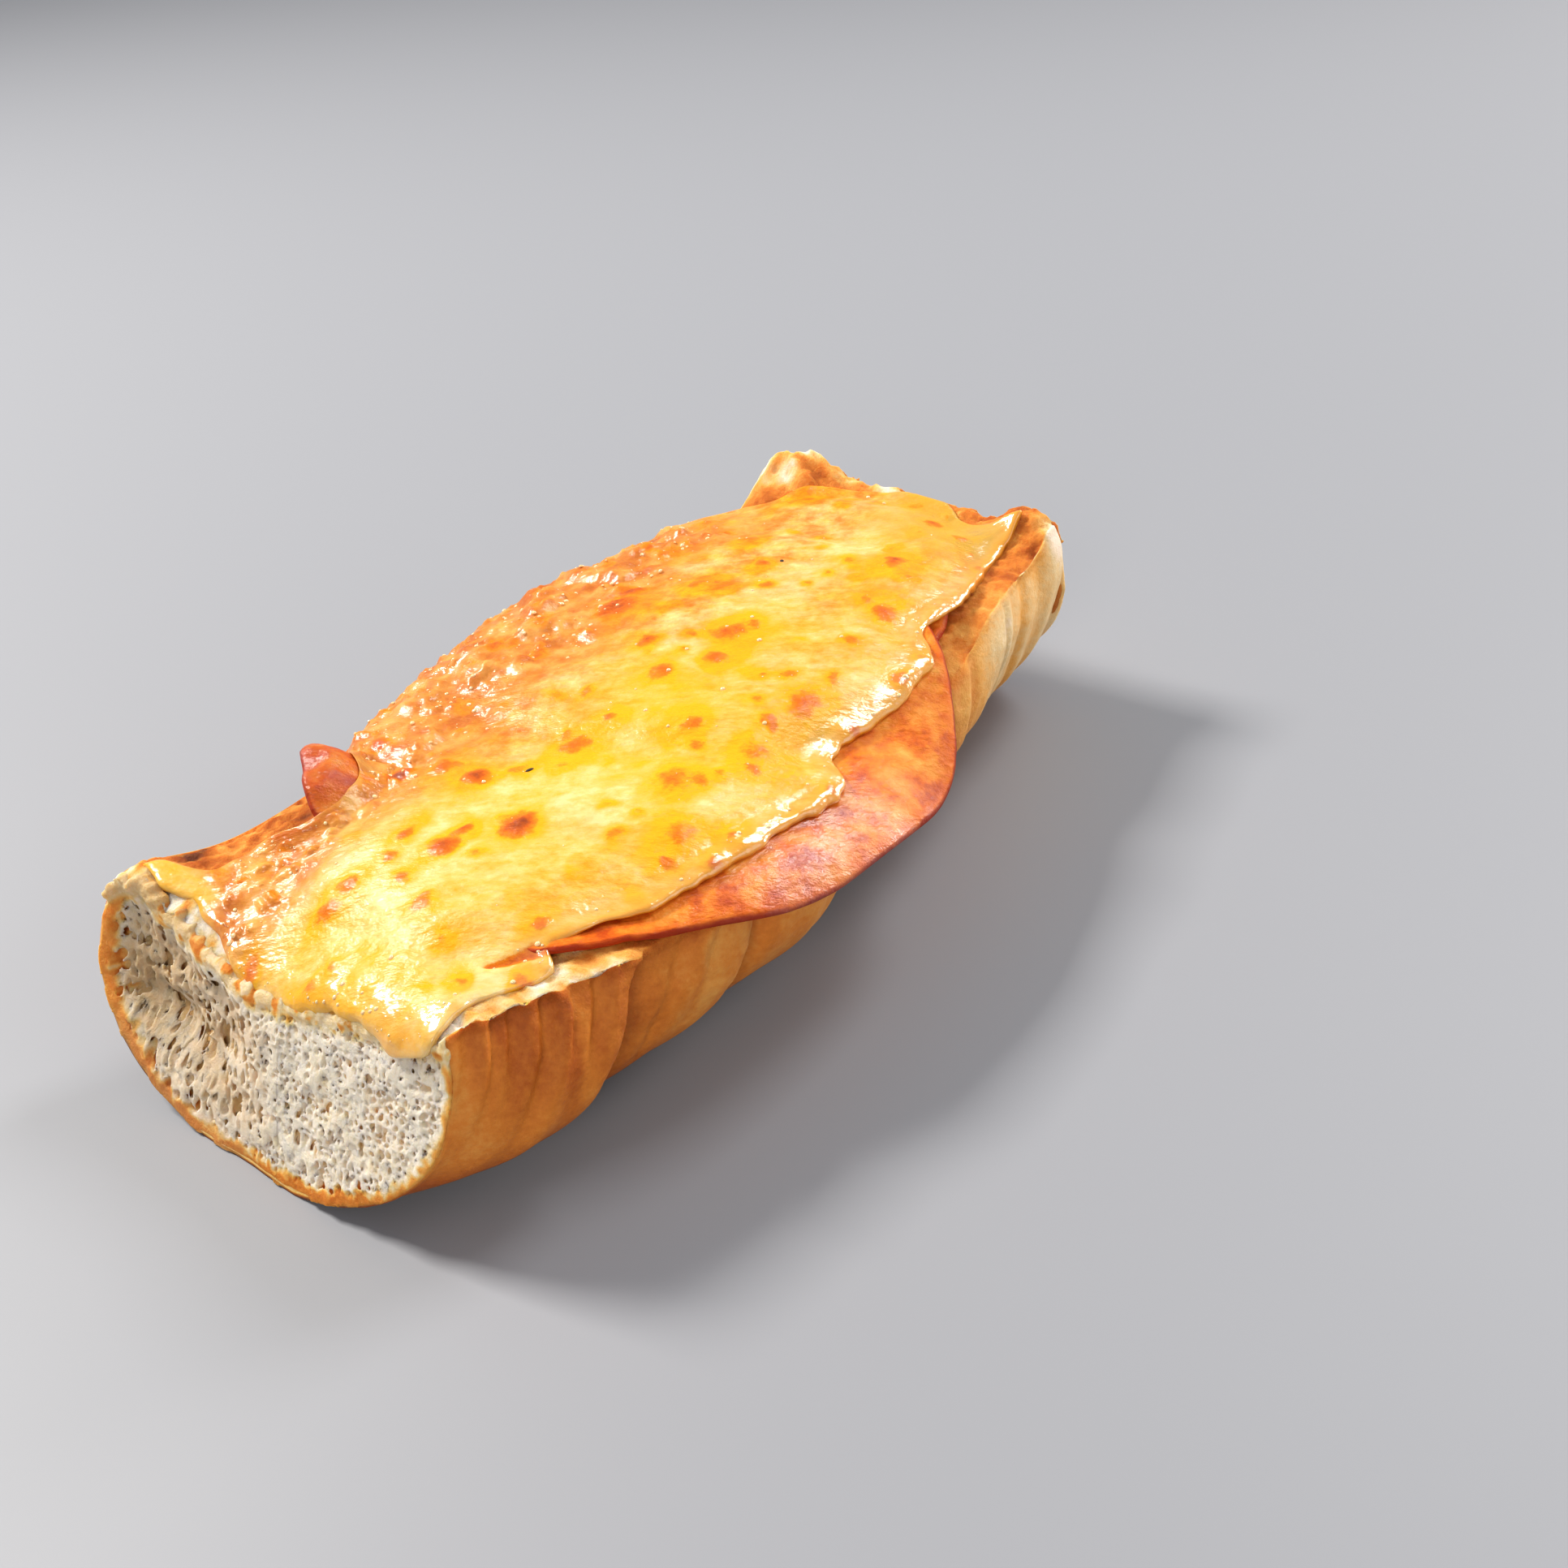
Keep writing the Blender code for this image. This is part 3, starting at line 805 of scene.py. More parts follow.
# %% Distance inside an outline
def distance_inside(u, v, loop):
    """Distance of places (u, v) from a closed outline, positive inside: the least over its straight
    pieces."""
    least, within = np.full(u.shape, 1e9), np.zeros(u.shape, bool)
    for (u0, v0), (u1, v1) in zip(loop, np.roll(loop, -1, axis=0)):
        du, dv = u1 - u0, v1 - v0
        t = np.clip(((u - u0) * du + (v - v0) * dv) / (du * du + dv * dv + 1e-18), 0, 1)
        least = np.minimum(least, (u - u0 - t * du) ** 2 + (v - v0 - t * dv) ** 2)
        crosses = (v0 > v) != (v1 > v)
        within ^= crosses & (u < u0 + (v - v0) * du / (dv if abs(dv) > 1e-15 else 1e-15))
    return np.sqrt(least) * np.where(within, 1, -1)


# %% [markdown]
# ## Foam
#
# Soap foam and bread crumb share one pattern. Scatter points, and let each own the places nearest to it:
# where two neighbours are equally near there is a wall, and where three are, a strut. A few larger round
# pores are cut out as well, as the gas in slack dough makes them.


# %% Bubbles and struts
CRUMB_AHEAD, CRUMB_DEPTH = -0.9 * MM, 5.2 * MM
FINE_CELL, WIDE_CELL = 1.05 * MM, 1.5 * MM
MEDIUM_PORE, LARGE_PORE = 1.9 * MM, 3.4 * MM


def pores(seed, size, fill, *places):
    """How deep inside a bubble a place is: each lattice cell holds one bubble, with its own radius."""
    low = [np.floor(place / size) for place in places]
    deepest = np.full(places[0].shape, -size)
    for neighbour in range(27):
        step = [(neighbour // 3**axis) % 3 - 1 for axis in range(3)]
        cells = [floor + move for floor, move in zip(low, step)]
        gap = 0
        for axis, (place, cell) in enumerate(zip(places, cells)):
            gap = gap + (place - (cell + 0.15 + 0.7 * cell_number(seed + axis, *cells)) * size) ** 2
        radius = size * fill * (0.62 + 0.5 * cell_number(seed + 9, *cells))
        deepest = np.maximum(deepest, radius - np.sqrt(gap))
    return deepest


def cell_walls(seed, size, *places):
    """(wall, strut): how much farther the second and the third nearest of scattered points are than the
    nearest.

    The first is 0 on the walls between foam cells, and the second is 0 on the struts where three cells
    meet."""
    low = [np.floor(place / size) for place in places]
    first, second, third = (np.full(places[0].shape, 9.0 * size) for _ in range(3))
    for neighbour in range(27):
        step = [(neighbour // 3**axis) % 3 - 1 for axis in range(3)]
        cells = [floor + move for floor, move in zip(low, step)]
        gap = 0
        for axis, (place, cell) in enumerate(zip(places, cells)):
            gap = gap + (place - (cell + 0.1 + 0.8 * cell_number(seed + axis, *cells)) * size) ** 2
        gap = np.sqrt(gap)
        later = np.maximum(first, gap)
        first = np.minimum(first, gap)
        third = np.minimum(third, np.maximum(second, later))
        second = np.minimum(second, later)
    return second - first, third - first


def crumb_slab(ring_y, ring_z, step, seed, slack, reach, face_x):
    """(points as depth, y and z; distances inside the outline) of open crumb behind a flat cut.

    The crumb is struts and torn walls, less some larger bubbles, and it is whole at the rim and at its
    back."""
    depth = np.arange(CRUMB_AHEAD, CRUMB_DEPTH, step)
    across = np.arange(max(reach[0], ring_y.min()) - step, min(reach[1], ring_y.max()) + 2 * step, step)
    up = np.arange(ring_z.min() - step, ring_z.max() + 2 * step, step)
    loop = np.stack([ring_y, ring_z], axis=-1)
    flat_y, flat_z = np.meshgrid(across, up, indexing="ij")
    inside = distance_inside(flat_y, flat_z, loop)[None]
    q, y, z = np.meshgrid(depth, across, up, indexing="ij")
    warped = [
        place + 0.7 * MM * noise(seed + 40 + k, 3.0 * MM, q, y, z, octaves=2)
        for k, place in enumerate((q, y, z))
    ]
    slackness = slack(flat_y, flat_z)[None]
    wall, strut = cell_walls(seed, FINE_CELL, *warped)
    wide_wall, wide_strut = cell_walls(seed + 5, WIDE_CELL, warped[0], warped[1], 0.6 * warped[2])
    torn = noise(seed + 60, 0.9 * MM, *warped)
    close = np.minimum(strut - 0.38 * MM, wall - (0.23 + 0.20 * torn) * MM)
    loose = np.minimum(wide_strut - 0.46 * MM, wide_wall - (0.30 + 0.26 * torn) * MM)
    crumb = (
        close
        + (loose - close)
        * smooth_step(1.6 * slackness + 0.3 * torn + 0.35 * noise(seed + 61, 4 * MM, *warped))
    )
    large = (
        pores(seed + 20, LARGE_PORE, 0.55, warped[0], warped[1], 0.6 * warped[2])
        - 1.3 * MM * (1 - 0.72 * slackness)
    )
    medium = pores(seed + 25, MEDIUM_PORE, 0.44, *warped) - 0.28 * MM
    crumb = np.maximum(crumb, 0.8 * np.maximum(large, medium))
    rim_solid = 1.6 * MM * smooth_step((1.9 * MM + 0.8 * MM * slackness - inside) / (1.5 * MM))
    deep_solid = 2.5 * MM * smooth_step((q - 0.8 * MM - 0.5 * MM * slackness) / (1.2 * MM))
    below_face = bed(np.full_like(flat_y, face_x), flat_y) - flat_z
    torn_top = (
        smooth_step((2.2 * MM - below_face) / (1.4 * MM))
        * (0.6 + 0.8 * 1.1 * noise(seed + 91, 1.2 * MM, flat_y, flat_z, octaves=2))
    )
    rough = (0.5 * noise(seed + 90, 3 * MM, flat_y, flat_z, octaves=2) - 0.1 - 0.45 * torn_top)[None] * MM
    back = q - (1.3 * MM + np.clip(1.2 * inside, 0, 3.4 * MM))
    slab = np.maximum(np.maximum(rough - q, 0.25 * MM - 0.7 * MM * torn_top[None] - inside), back)
    slab = np.maximum(slab, np.maximum(y - reach[1], reach[0] - y))
    field = np.maximum(slab, crumb - rim_solid - deep_solid)
    roots = (q > 1.0 * MM) & (np.abs(back + 0.5 * MM) < 0.5 * MM)
    field = held_together(field, roots)
    points, faces = skin_of(field, np.array([depth[0], across[0], up[0]]), step)
    return points, faces, distance_inside(points[:, 1], points[:, 2], loop)


# %% [markdown]
# ## The open near end
#
# The slab of foam is bent onto the slanting, torn end of the roll. Its pores are large on the far left,
# where the dough was slack, and fine towards the front crust. A band of crumb along the crust is baked,
# thick and coarse at the bottom and the back, thin at the front. One fine mesh would hold too many
# triangles, so the slab is made as two pieces that overlap by less than half a millimetre. Their deep
# points are tucked in, clear of the crust's side.

# %% Crumb at the near end
near_ring = rings[0]
NEAR_CRUMB_STEP, FAR_CRUMB_STEP = 0.26 * MM, 0.55 * MM


def slack_dough(y, z):
    """Where the pores are large: the back side and the bottom."""
    return smooth_step((y + 8 * MM) / (26 * MM)) * 0.9 + 0.2 * bell(z + 24 * MM, 5 * MM)


CRUMB_PARTS = (("near_crumb_ahead", (-1, -2.8 * MM)), ("near_crumb_behind", (-3.2 * MM, 1)))
for name, reach in CRUMB_PARTS:
    points, faces, gap = crumb_slab(
        near_ring[:, 1], near_ring[:, 2], NEAR_CRUMB_STEP, 100, slack_dough, reach, NEAR_END_X
    )
    depth, y, z = points.T
    hollow_part = smooth_step((y - 1 * MM) / (12 * MM)) * smooth_step((z + 27 * MM) / (10 * MM))
    hollow = 5 * MM * smooth_step(gap / (10 * MM)) * hollow_part * (0.8 + 0.4 * noise(44, 7 * MM, y, z))
    end_x = NEAR_END_X + NEAR_END_SLANT * z + torn_back(y, z)
    placed = tucked(end_x + hollow + depth, depth, y, z)
    lowness = smooth_step((-20 * MM - z) / (9 * MM))
    backness = smooth_step((y - 12 * MM) / (16 * MM))
    topness = smooth_step((z - bed(np.full_like(y, NEAR_END_X), y) + 3.6 * MM) / (2.2 * MM))
    band = 1.9 * MM + 1.7 * MM * np.maximum(0.6 * lowness, backness)
    crumb_bake = (
        (0.46 + 0.10 * lowness) * (1 - topness)
        * smooth_step((band - gap) / (1.5 * MM) + 0.8 * noise(41, 1.3 * MM, y, z, octaves=2))
    )
    crumb_bake = np.maximum(
        crumb_bake, topness * (0.12 + 0.40 * smooth_step(2.6 * noise(42, 1.5 * MM, y, z, octaves=3) - 0.15))
    )
    # Painted shade: deeper behind the cut, in the pores, the crumb is painted tan.
    crumb_bake += 0.03 * backness + 0.24 * smooth_step((depth - 0.1 * MM) / (1.6 * MM))
    # Painted shade on the near crumb: darker in the hollow on its left and low on the left, where shadow
    # falls, and also darker along the top.
    painted_crumb_shade = (
        smooth_step((y + 6 * MM) / (16 * MM)) * smooth_step((z + 33 * MM) / (10 * MM))
        * smooth_step((gap - 1.5 * MM) / (4 * MM))
    )
    painted_crumb_shade = np.maximum(
        painted_crumb_shade, 0.7 * smooth_step((z + 7 * MM) / (5 * MM)) * smooth_step((y + 22 * MM) / (10 * MM))
    )
    painted_crumb_shade = np.maximum(
        painted_crumb_shade, 0.5 * smooth_step((-19 * MM - z) / (6 * MM)) * smooth_step((y + 2 * MM) / (10 * MM))
    )
    painted_crumb_shade = painted_crumb_shade * (0.70 + 0.35 * noise(45, 5 * MM, y, z, octaves=2))
    fields = {"bake": crumb_bake, "open_crumb": np.ones(len(placed)), "painted_crumb_shade": painted_crumb_shade}
    add_piece(name, placed, faces, "bread", (), bread_finish, **fields)

# %% [markdown]
# ## Crumb at the far end
#
# The far end is seen only from behind, but it is cut bread too, so it gets the same slab of foam, turned
# round and on a lattice twice as coarse.

# %% Crumb at the far end
far_ring = rings[-1]
points, faces, gap = crumb_slab(
    far_ring[:, 1], far_ring[:, 2], FAR_CRUMB_STEP, 200, lambda y, z: 0.3 + 0 * y, (-1, 1), FAR_END_X
)
depth, y, z = points.T
placed = tucked(FAR_END_X - 0.2 * MM - depth, depth, y, z)
far_bake = 0.62 * smooth_step((1.6 * MM - gap) / (0.9 * MM) + 0.4 * noise(43, 1.5 * MM, y, z, octaves=2))
far_bake = np.maximum(
    far_bake, 0.5 * smooth_step((z - bed(np.full_like(y, FAR_END_X), y) + 2.2 * MM) / (1.8 * MM))
)
add_piece(
    "far_crumb", placed, faces[:, ::-1], "bread", (), bread_finish, bake=far_bake,
    open_crumb=np.ones(len(placed))
)

# %% [markdown]
# ## Draped layers
#
# Slices and cheese lie on the bread and on each other. Each is drawn in plan, and then every point is moved
# up from the toasted face along the face's own square direction, by the height of what lies below it. Past
# the bread's edges the face's formula bends down, so whatever hangs over an edge drapes by itself.

# %% Lift a layer off the bread
SLICE_THICK = 1.2 * MM
REST = 0.3 * MM
RIM_CLIMB = 9 * MM
BACK_SLICE = {"centre": (23 * MM, 1 * MM), "radii": (38 * MM, 37 * MM)}
FRONT_SLICE = {"centre": (-8.5 * MM, -8.5 * MM), "radii": (50 * MM, 45 * MM)}
CURL_AT = (-49.5 * MM, 21.5 * MM)
CURLED_TAB_TURN, SMALL_TAB_TURN = 3.58, 2.47


def slice_share(x, y, disc):
    """1 over a slice, fading to 0 a little past its rim: what a layer above has to climb."""
    along = (x - disc["centre"][0]) / disc["radii"][0]
    across = (y - disc["centre"][1]) / disc["radii"][1]
    past_rim = (np.hypot(along, across) - 1) * disc["radii"][0]
    return smooth_step(1 - (past_rim - 1 * MM) / RIM_CLIMB)


def curl(x, y):
    """The hump of the front slice's curled rim: a smooth step of the distance from its middle, with a
    crumpled top."""
    away = np.hypot(x - CURL_AT[0], y - CURL_AT[1])
    main = 5.8 * MM * smooth_step(1.55 - away / (8.5 * MM))
    return (
        main
        + (1.3 * MM * noise(51, 3.2 * MM, x, y, octaves=2) + 0.35 * MM * noise(53, 1.6 * MM, x, y))
        * bell(away, 8 * MM)
    )


def layer_height(x, y, below):
    """Height above the face at which a layer starts: the slices below it, and the curl if the front one is
    there."""
    height = np.full_like(x, REST)
    for disc in below:
        height = height + (SLICE_THICK + 0.4 * MM) * slice_share(x, y, disc)
    return height + (curl(x, y) if FRONT_SLICE in below else 0)


def lifted(x, y, height):
    """Points at a height above the face, measured square to it."""
    step = 0.2 * MM
    slope_x = (bed(x + step, y) - bed(x - step, y)) / (2 * step)
    slope_y = (bed(x, y + step) - bed(x, y - step)) / (2 * step)
    square = np.stack([-slope_x, -slope_y, np.ones_like(x)], axis=-1)
    square /= np.linalg.norm(square, axis=-1, keepdims=True)
    return np.stack([x, y, bed(x, y)], axis=-1) + square * height[..., None]


# %% [markdown]
# ## Pepperoni
#
# These are big sandwich slices, a hand wide and a little over a millimetre thick. A slice is a grid of
# rings and spokes. Heat shrank its rim more than its middle, so the rim ripples, and grease stands on it,
# which gives the hanging flap its shine. The finish mixes salmon meat, redder grains and small pale flecks
# of fat, and its rim number darkens the last millimetre.


# %% Slices
def make_slice(disc, below, curled, seed, spokes, ring_count):
    """A draped disc: rings of points round a centre, once below and once above, meeting at a rounded
    rim."""
    share = np.linspace(0, 1, ring_count + 1)[1:] ** 0.8
    ring, turn = np.meshgrid(share, 2 * np.pi * np.arange(spokes) / spokes, indexing="ij")
    cx, cy = disc["centre"]
    rx, ry = disc["radii"]
    ragged = 0.006 * noise(seed, 0.35, np.cos(turn), np.sin(turn), octaves=3)
    wave = 1 + 0.012 * np.sin(5 * turn + 0.4) + 0.008 * np.sin(9 * turn) + ragged
    if curled:
        wave = (
            wave + 0.12 * bell(turn - CURLED_TAB_TURN, 0.29)
            + 0.028 * smooth_step(2.3 - np.abs(turn - SMALL_TAB_TURN) / 0.11)
        )
    x = np.append((cx + rx * ring * wave * np.cos(turn)).ravel(), cx)
    y = np.append((cy + ry * ring * wave * np.sin(turn)).ravel(), cy)
    out = np.append(ring.ravel(), 0)
    ripple = 0.75 * MM * noise(seed + 1, 11 * MM, x, y) * smooth_step((out - 0.72) / 0.28)
    wrinkle = (
        0.16 * MM * noise(seed + 2, 3.4 * MM, x, y, octaves=3) + 0.07 * MM * noise(seed + 5, 1.2 * MM, x, y)
    )
    lift = (curl(x, y) if curled else 0) + np.maximum(ripple, -0.2 * MM) + wrinkle
    rim_gap = (1 - out) * rx
    thick = SLICE_THICK * np.sqrt(1 - (1 - np.clip(rim_gap / (0.9 * MM), 0, 1)) ** 2)
    start = layer_height(x, y, below) + lift
    low = lifted(x, y, start + (SLICE_THICK - thick) / 2)
    high = lifted(x, y, start + (SLICE_THICK + thick) / 2)
    count = len(x)
    rim = (ring_count - 1) * spokes + np.arange(spokes)
    bands = grid_faces(ring_count, spokes, closed=True)
    spoke = np.arange(spokes)
    fan = np.stack([np.full(spokes, count - 1), spoke, (spoke + 1) % spokes, (spoke + 1) % spokes], axis=-1)
    top = np.concatenate([bands, fan[:, [0, 2, 1, 1]]])
    keep = np.arange(2 * count)
    keep[rim + count] = rim
    faces = np.concatenate([top[:, ::-1], keep[top + count]])
    faces = np.where((faces[:, :1] == faces[:, 1:2]), faces[:, [3, 2, 1, 1]], faces)
    used = np.unique(keep)
    crisp = bell(np.hypot(x - CURL_AT[0], y - CURL_AT[1]), 9 * MM) * curled
    grease = (
        bell(x + 17 * MM, 15 * MM) * smooth_step((-39 * MM - y) / (4 * MM))
        * (0.8 + 0.8 * noise(seed + 6, 3 * MM, x, y, octaves=2))
    )
    numbers = {
        "rim": np.tile(bell(rim_gap, 1.3 * MM), 2)[used], "crisp": np.tile(crisp, 2)[used],
        "grease": np.tile(np.clip(grease + 0.35 * crisp, 0, 1), 2)[used]
    }
    points = np.concatenate([low, high])[used]
    place = np.searchsorted(used, faces)
    return points, facing_out(points, place), numbers


# %% [markdown]
# ## The pepperoni's finish
#
# Cured meat is salmon pink flecked with darker grains. Noise picks a colour on a ramp from deep red to pale
# salmon. Three numbers change it: rim reddens and darkens the last millimetre with a ragged edge, crisp
# turns the curled tab dark red, and grease drives the clear coat, so that only the wet patch of the hanging
# flap shines. A picture of meat could do this too, but noise has no seams and stays sharp. Fine creases are
# bump, too shallow for the mesh.

# %% Mix the pepperoni finish
meat_finish, tree, shader = new_finish(
    "cured meat", 0.5, Subsurface_Weight=0.2, Subsurface_Radius=(1.0, 0.3, 0.15), Subsurface_Scale=0.0015,
    Coat_IOR=2.2, Coat_Roughness=0.09, Specular_IOR_Level=0.1
)
meat = ramp(
    tree,
    sums(
        tree, "ADD", sums(tree, "MULTIPLY", grain(tree, 260, 4, 0.6), 0.75),
        sums(tree, "MULTIPLY", grain(tree, 60, 2, 0.5), 0.3)
    ),
    (0.38, (0.44, 0.050, 0.003)),
    (0.48, (0.66, 0.130, 0.007)),
    (0.58, (0.80, 0.23, 0.020)),
    (0.72, (0.88, 0.38, 0.07)),
)
rim_number = number_of(tree, "rim")
meat = blend_colours(tree, sums(tree, "MULTIPLY", rim_number, 0.7), meat, (0.74, 0.12, 0.004))
meat = blend_colours(
    tree, sharpened(tree, rim_number, grain(tree, 160, 3, 0.6), 0.85, 5.0, 0.6), meat, (0.36, 0.03, 0.004)
)
meat = blend_colours(
    tree, sums(tree, "MULTIPLY", number_of(tree, "crisp"), 0.75), meat, (0.32, 0.028, 0.002)
)
join(tree, meat, shader.inputs["Base Color"])
creases = sums(tree, "ABSOLUTE", sums(tree, "SUBTRACT", grain(tree, 520, 3, 0.6, (1.8, 0.9, 1), -0.7), 0.5))
wrinkles = sums(
    tree, "ADD", sums(tree, "MULTIPLY", grain(tree, 1500, 4, 0.7), 0.5),
    sums(tree, "MULTIPLY", creases, 2.2)
)
wrinkles = sums(
    tree, "ADD", wrinkles, sums(tree, "MULTIPLY", grain(tree, 210, 3, 0.6, (2.5, 1, 1), -0.6), 1.2)
)
raised(tree, shader, wrinkles, 0.0006, 0.5)
join(tree, sums(tree, "MULTIPLY_ADD", number_of(tree, "grease"), 0.97, 0.02), shader.inputs["Coat Weight"])

# %% [markdown]
# ## Two slices
#
# The slice further back is laid first and lies on bread. The one ahead of it lies partly on the first, so
# it is told what is below it. It has more spokes, because its flap and its curl are seen up close.

# %% Lay the slices
for name, disc, below, curled, seed, spokes, ring_count in (
    ("pepperoni_behind", BACK_SLICE, [], False, 60, 260, 52),
    ("pepperoni_ahead", FRONT_SLICE, [BACK_SLICE], True, 70, 420, 84),
):
    points, faces, numbers = make_slice(disc, below, curled, seed, spokes, ring_count)
    node = "pepperoni_front" if curled else "pepperoni_back"
    add_piece(name, points, faces, "pepperoni", [node], meat_finish, **numbers)

# %% [markdown]
# ## Melted cheese
#
# The cheese is one blanket. Its outline is a loop of four sides: the run along the front, with the notch
# where it let go of the hanging slice, the far end, the back, and the near end with its drip. A grid is
# stretched between the four sides, a Coons patch: each inner point is the blend of the two pairs of
# opposite sides less the blend of the corners. The sheet has the round rim of a thick liquid, and it is
# thick where it pooled and thin where it ran over the back slice.


# %% The cheese's outline
def curve_through(places, count):
    """Evenly spaced points on a smooth curve through places in millimetres: a Catmull-Rom spline, then its
    length."""
    p = np.array(places, float) * MM
    p = np.concatenate([[2 * p[0] - p[1]], p, [2 * p[-1] - p[-2]]])
    t = np.linspace(0, 1, 24, endpoint=False)[:, None]
    spans = []
    for a, b, c, d in zip(p[:-3], p[1:-2], p[2:-1], p[3:]):
        spans.append(
            0.5
            * (2 * b + (c - a) * t + (2 * a - 5 * b + 4 * c - d) * t**2 + (3 * b - a - 3 * c + d) * t**3)
        )
    line = np.concatenate([*spans, p[-2:-1]])
    run = np.append(0, np.cumsum(np.linalg.norm(np.diff(line, axis=0), axis=1)))
    at = np.linspace(0, run[-1], count)
    return np.stack([np.interp(at, run, line[:, axis]) for axis in (0, 1)], axis=-1)


ROWS, COLUMNS = 301, 159
FRONT_SIDE = (
    (-76.4, -29.5), (-75.6, -31.8), (-72.0, -32.3), (-68.6, -32.6), (-65.8, -33.6), (-62.4, -35.0),
    (-58.6, -36.0), (-57.2, -35.6), (-55.6, -33.6), (-52.1, -34.4), (-45.3, -37.5), (-38.6, -40.0),
    (-28.4, -42.3), (-19.6, -42.9), (-13, -43.9), (-8.9, -43.9), (-5.0, -43.0), (-2.6, -39.7),
    (-1.0, -38.7), (3.3, -38.5), (7.9, -39.3), (14.9, -39.4), (23.1, -38.8), (26.8, -37.6), (30, -34.4),
    (33, -33.4), (36, -33.2), (39.5, -33.6), (45, -33.2), (51, -31.6), (58.7, -29.4), (66, -29.0),
    (71, -28.6),
)
FAR_SIDE = (
    (71, -28.6), (70.2, -26.6), (68.9, -24), (69.0, -20), (70.0, -16.4), (72.2, -13), (73.2, -9),
    (73.0, -3), (71.6, 3), (70.4, 8.5), (68, 12.5),
)
BACK_SIDE = (
    (-72.2, 30.2), (-70.0, 28.8), (-68.6, 25.0), (-66.6, 21.8), (-63, 21), (-59, 18.5), (-55.5, 14.0),
    (-50, 12.2), (-44.0, 14.5), (-40.6, 20.5), (-37, 26.0), (-31, 29.5), (-24, 31.2), (-15, 33),
    (-3, 34.5), (10, 35), (22, 34), (33, 32.5), (45, 29.5), (54, 23.5), (62, 18), (68, 12.5),
)
NEAR_SIDE = (
    (-76.4, -29.5), (-76.6, -26), (-75.2, -21), (-75.4, -14), (-76.4, -3), (-75.4, 7), (-74.2, 12),
    (-72.6, 16), (-72.4, 21), (-73.0, 26.5), (-72.2, 30.2),
)
front_line, back_line = curve_through(FRONT_SIDE, ROWS), curve_through(BACK_SIDE, ROWS)
near_line, far_line = curve_through(NEAR_SIDE, COLUMNS), curve_through(FAR_SIDE, COLUMNS)
lobes = (
    MM
    * (0.45 * noise(80, 4 * MM, front_line[:, 0], octaves=2) + 0.30 * noise(95, 1.7 * MM, front_line[:, 0]))
    * np.sin(np.pi * np.linspace(0, 1, ROWS)) ** 0.3
)
front_line[:, 1] += lobes
near_line[:, 0] += (
    0.9 * MM * noise(81, 4 * MM, near_line[:, 1], octaves=2)
    * np.sin(np.pi * np.linspace(0, 1, COLUMNS)) ** 0.3
)


def sampled(line, shares):
    """Points of a line at shares of its length."""
    at = shares * (len(line) - 1)
    return np.stack([np.interp(at, np.arange(len(line)), line[:, axis]) for axis in (0, 1)], axis=-1)


along, across = crowded(ROWS), crowded(COLUMNS)
u, v = along[:, None, None], across[None, :, None]
front_row, back_row = sampled(front_line, along)[:, None], sampled(back_line, along)[:, None]
near_row, far_row = sampled(near_line, across)[None], sampled(far_line, across)[None]
corners = (
    (1 - u) * (1 - v) * front_line[0] + u * (1 - v) * front_line[-1] + (1 - u) * v * back_line[0]
    + u * v * back_line[-1]
)
plan = (1 - v) * front_row + v * back_row + (1 - u) * near_row + u * far_row - corners
cheese_x, cheese_y = plan[..., 0], plan[..., 1]
rim_loop = np.concatenate([front_line[:-1], far_line[:-1], back_line[:0:-1], near_line[:0:-1]])
rim_gap = np.abs(distance_inside(cheese_x, cheese_y, rim_loop[::2]))
border = np.zeros(cheese_x.shape, bool)
border[[0, -1], :] = border[:, [0, -1]] = True
rim_gap[border] = 0
print(
    "the cheese is", round(1000 * float(np.ptp(cheese_x))), "by", round(1000 * float(np.ptp(cheese_y))),
    "mm in plan"
)

# %% [markdown]
# ## Bubbles and browning
#
# Where steam pushed the cheese up, a blister browned: darkest on its crown, with a puddle of yellow fat
# round it. The large ones stand at measured places: each row is x, y and a radius in millimetres, and a
# depth of brown. Small ones are scattered. Every number below is a field over the sheet, used twice: for
# the relief and the colour.

# %% Blisters
BLISTERS = (
    (-41.8, -15.2, 2.6, 0.95), (-50.2, -9.8, 2.0, 0.75), (-46.6, -9.4, 1.6, 0.7),
    (-22.8, -7.9, 2.2, 0.55), (-35.8, -1.7, 2.4, 0.8), (-2.7, -8.5, 2.8, 0.55),
    (-11.4, -21.2, 1.8, 0.45), (3.3, -0.2, 1.9, 0.75), (11.8, -10.6, 2.6, 0.6), (32.8, 0, 1.6, 0.7),
    (44.9, -19.8, 2.3, 0.75), (2.7, -30.5, 3.2, 0.6), (-23.1, -26.8, 3.2, 0.4),
    (-30.3, -34.1, 2.6, 0.35), (-10.2, -31.1, 3.4, 0.35), (4.8, -12.9, 1.8, 0.6), (9.6, 11.3, 4.2, 0.8),
    (15.3, 12.8, 2.2, 0.8), (-50.4, -2.3, 1.5, 0.65), (-60.9, -2.5, 1.8, 0.5), (-64.8, -2, 2.4, 0.45),
    (-36.2, 5.4, 2.6, 0.6), (30.7, -26.9, 2.4, 0.6), (-39.3, 11.4, 2.4, 1.0), (-35.1, 19.6, 2.2, 0.7),
    (-7, 23, 2.2, 0.6), (64.1, -14.6, 1.8, 0.7), (-6.2, 14.7, 2.2, 0.6), (45.3, 21.8, 3.2, 0.45),
    (30.4, 17.6, 3.4, 0.5), (0.3, 19.6, 2.4, 0.5), (-22, 16, 2.6, 0.4), (-60, 14, 2.4, 0.35),
    (-15.6, -9, 1.2, 0.5), (-25.1, -39, 1.4, 0.35), (62.4, 12.4, 2.4, 0.5), (22, 4, 2.4, 0.5),
    (40, 8, 2.0, 0.5),
)
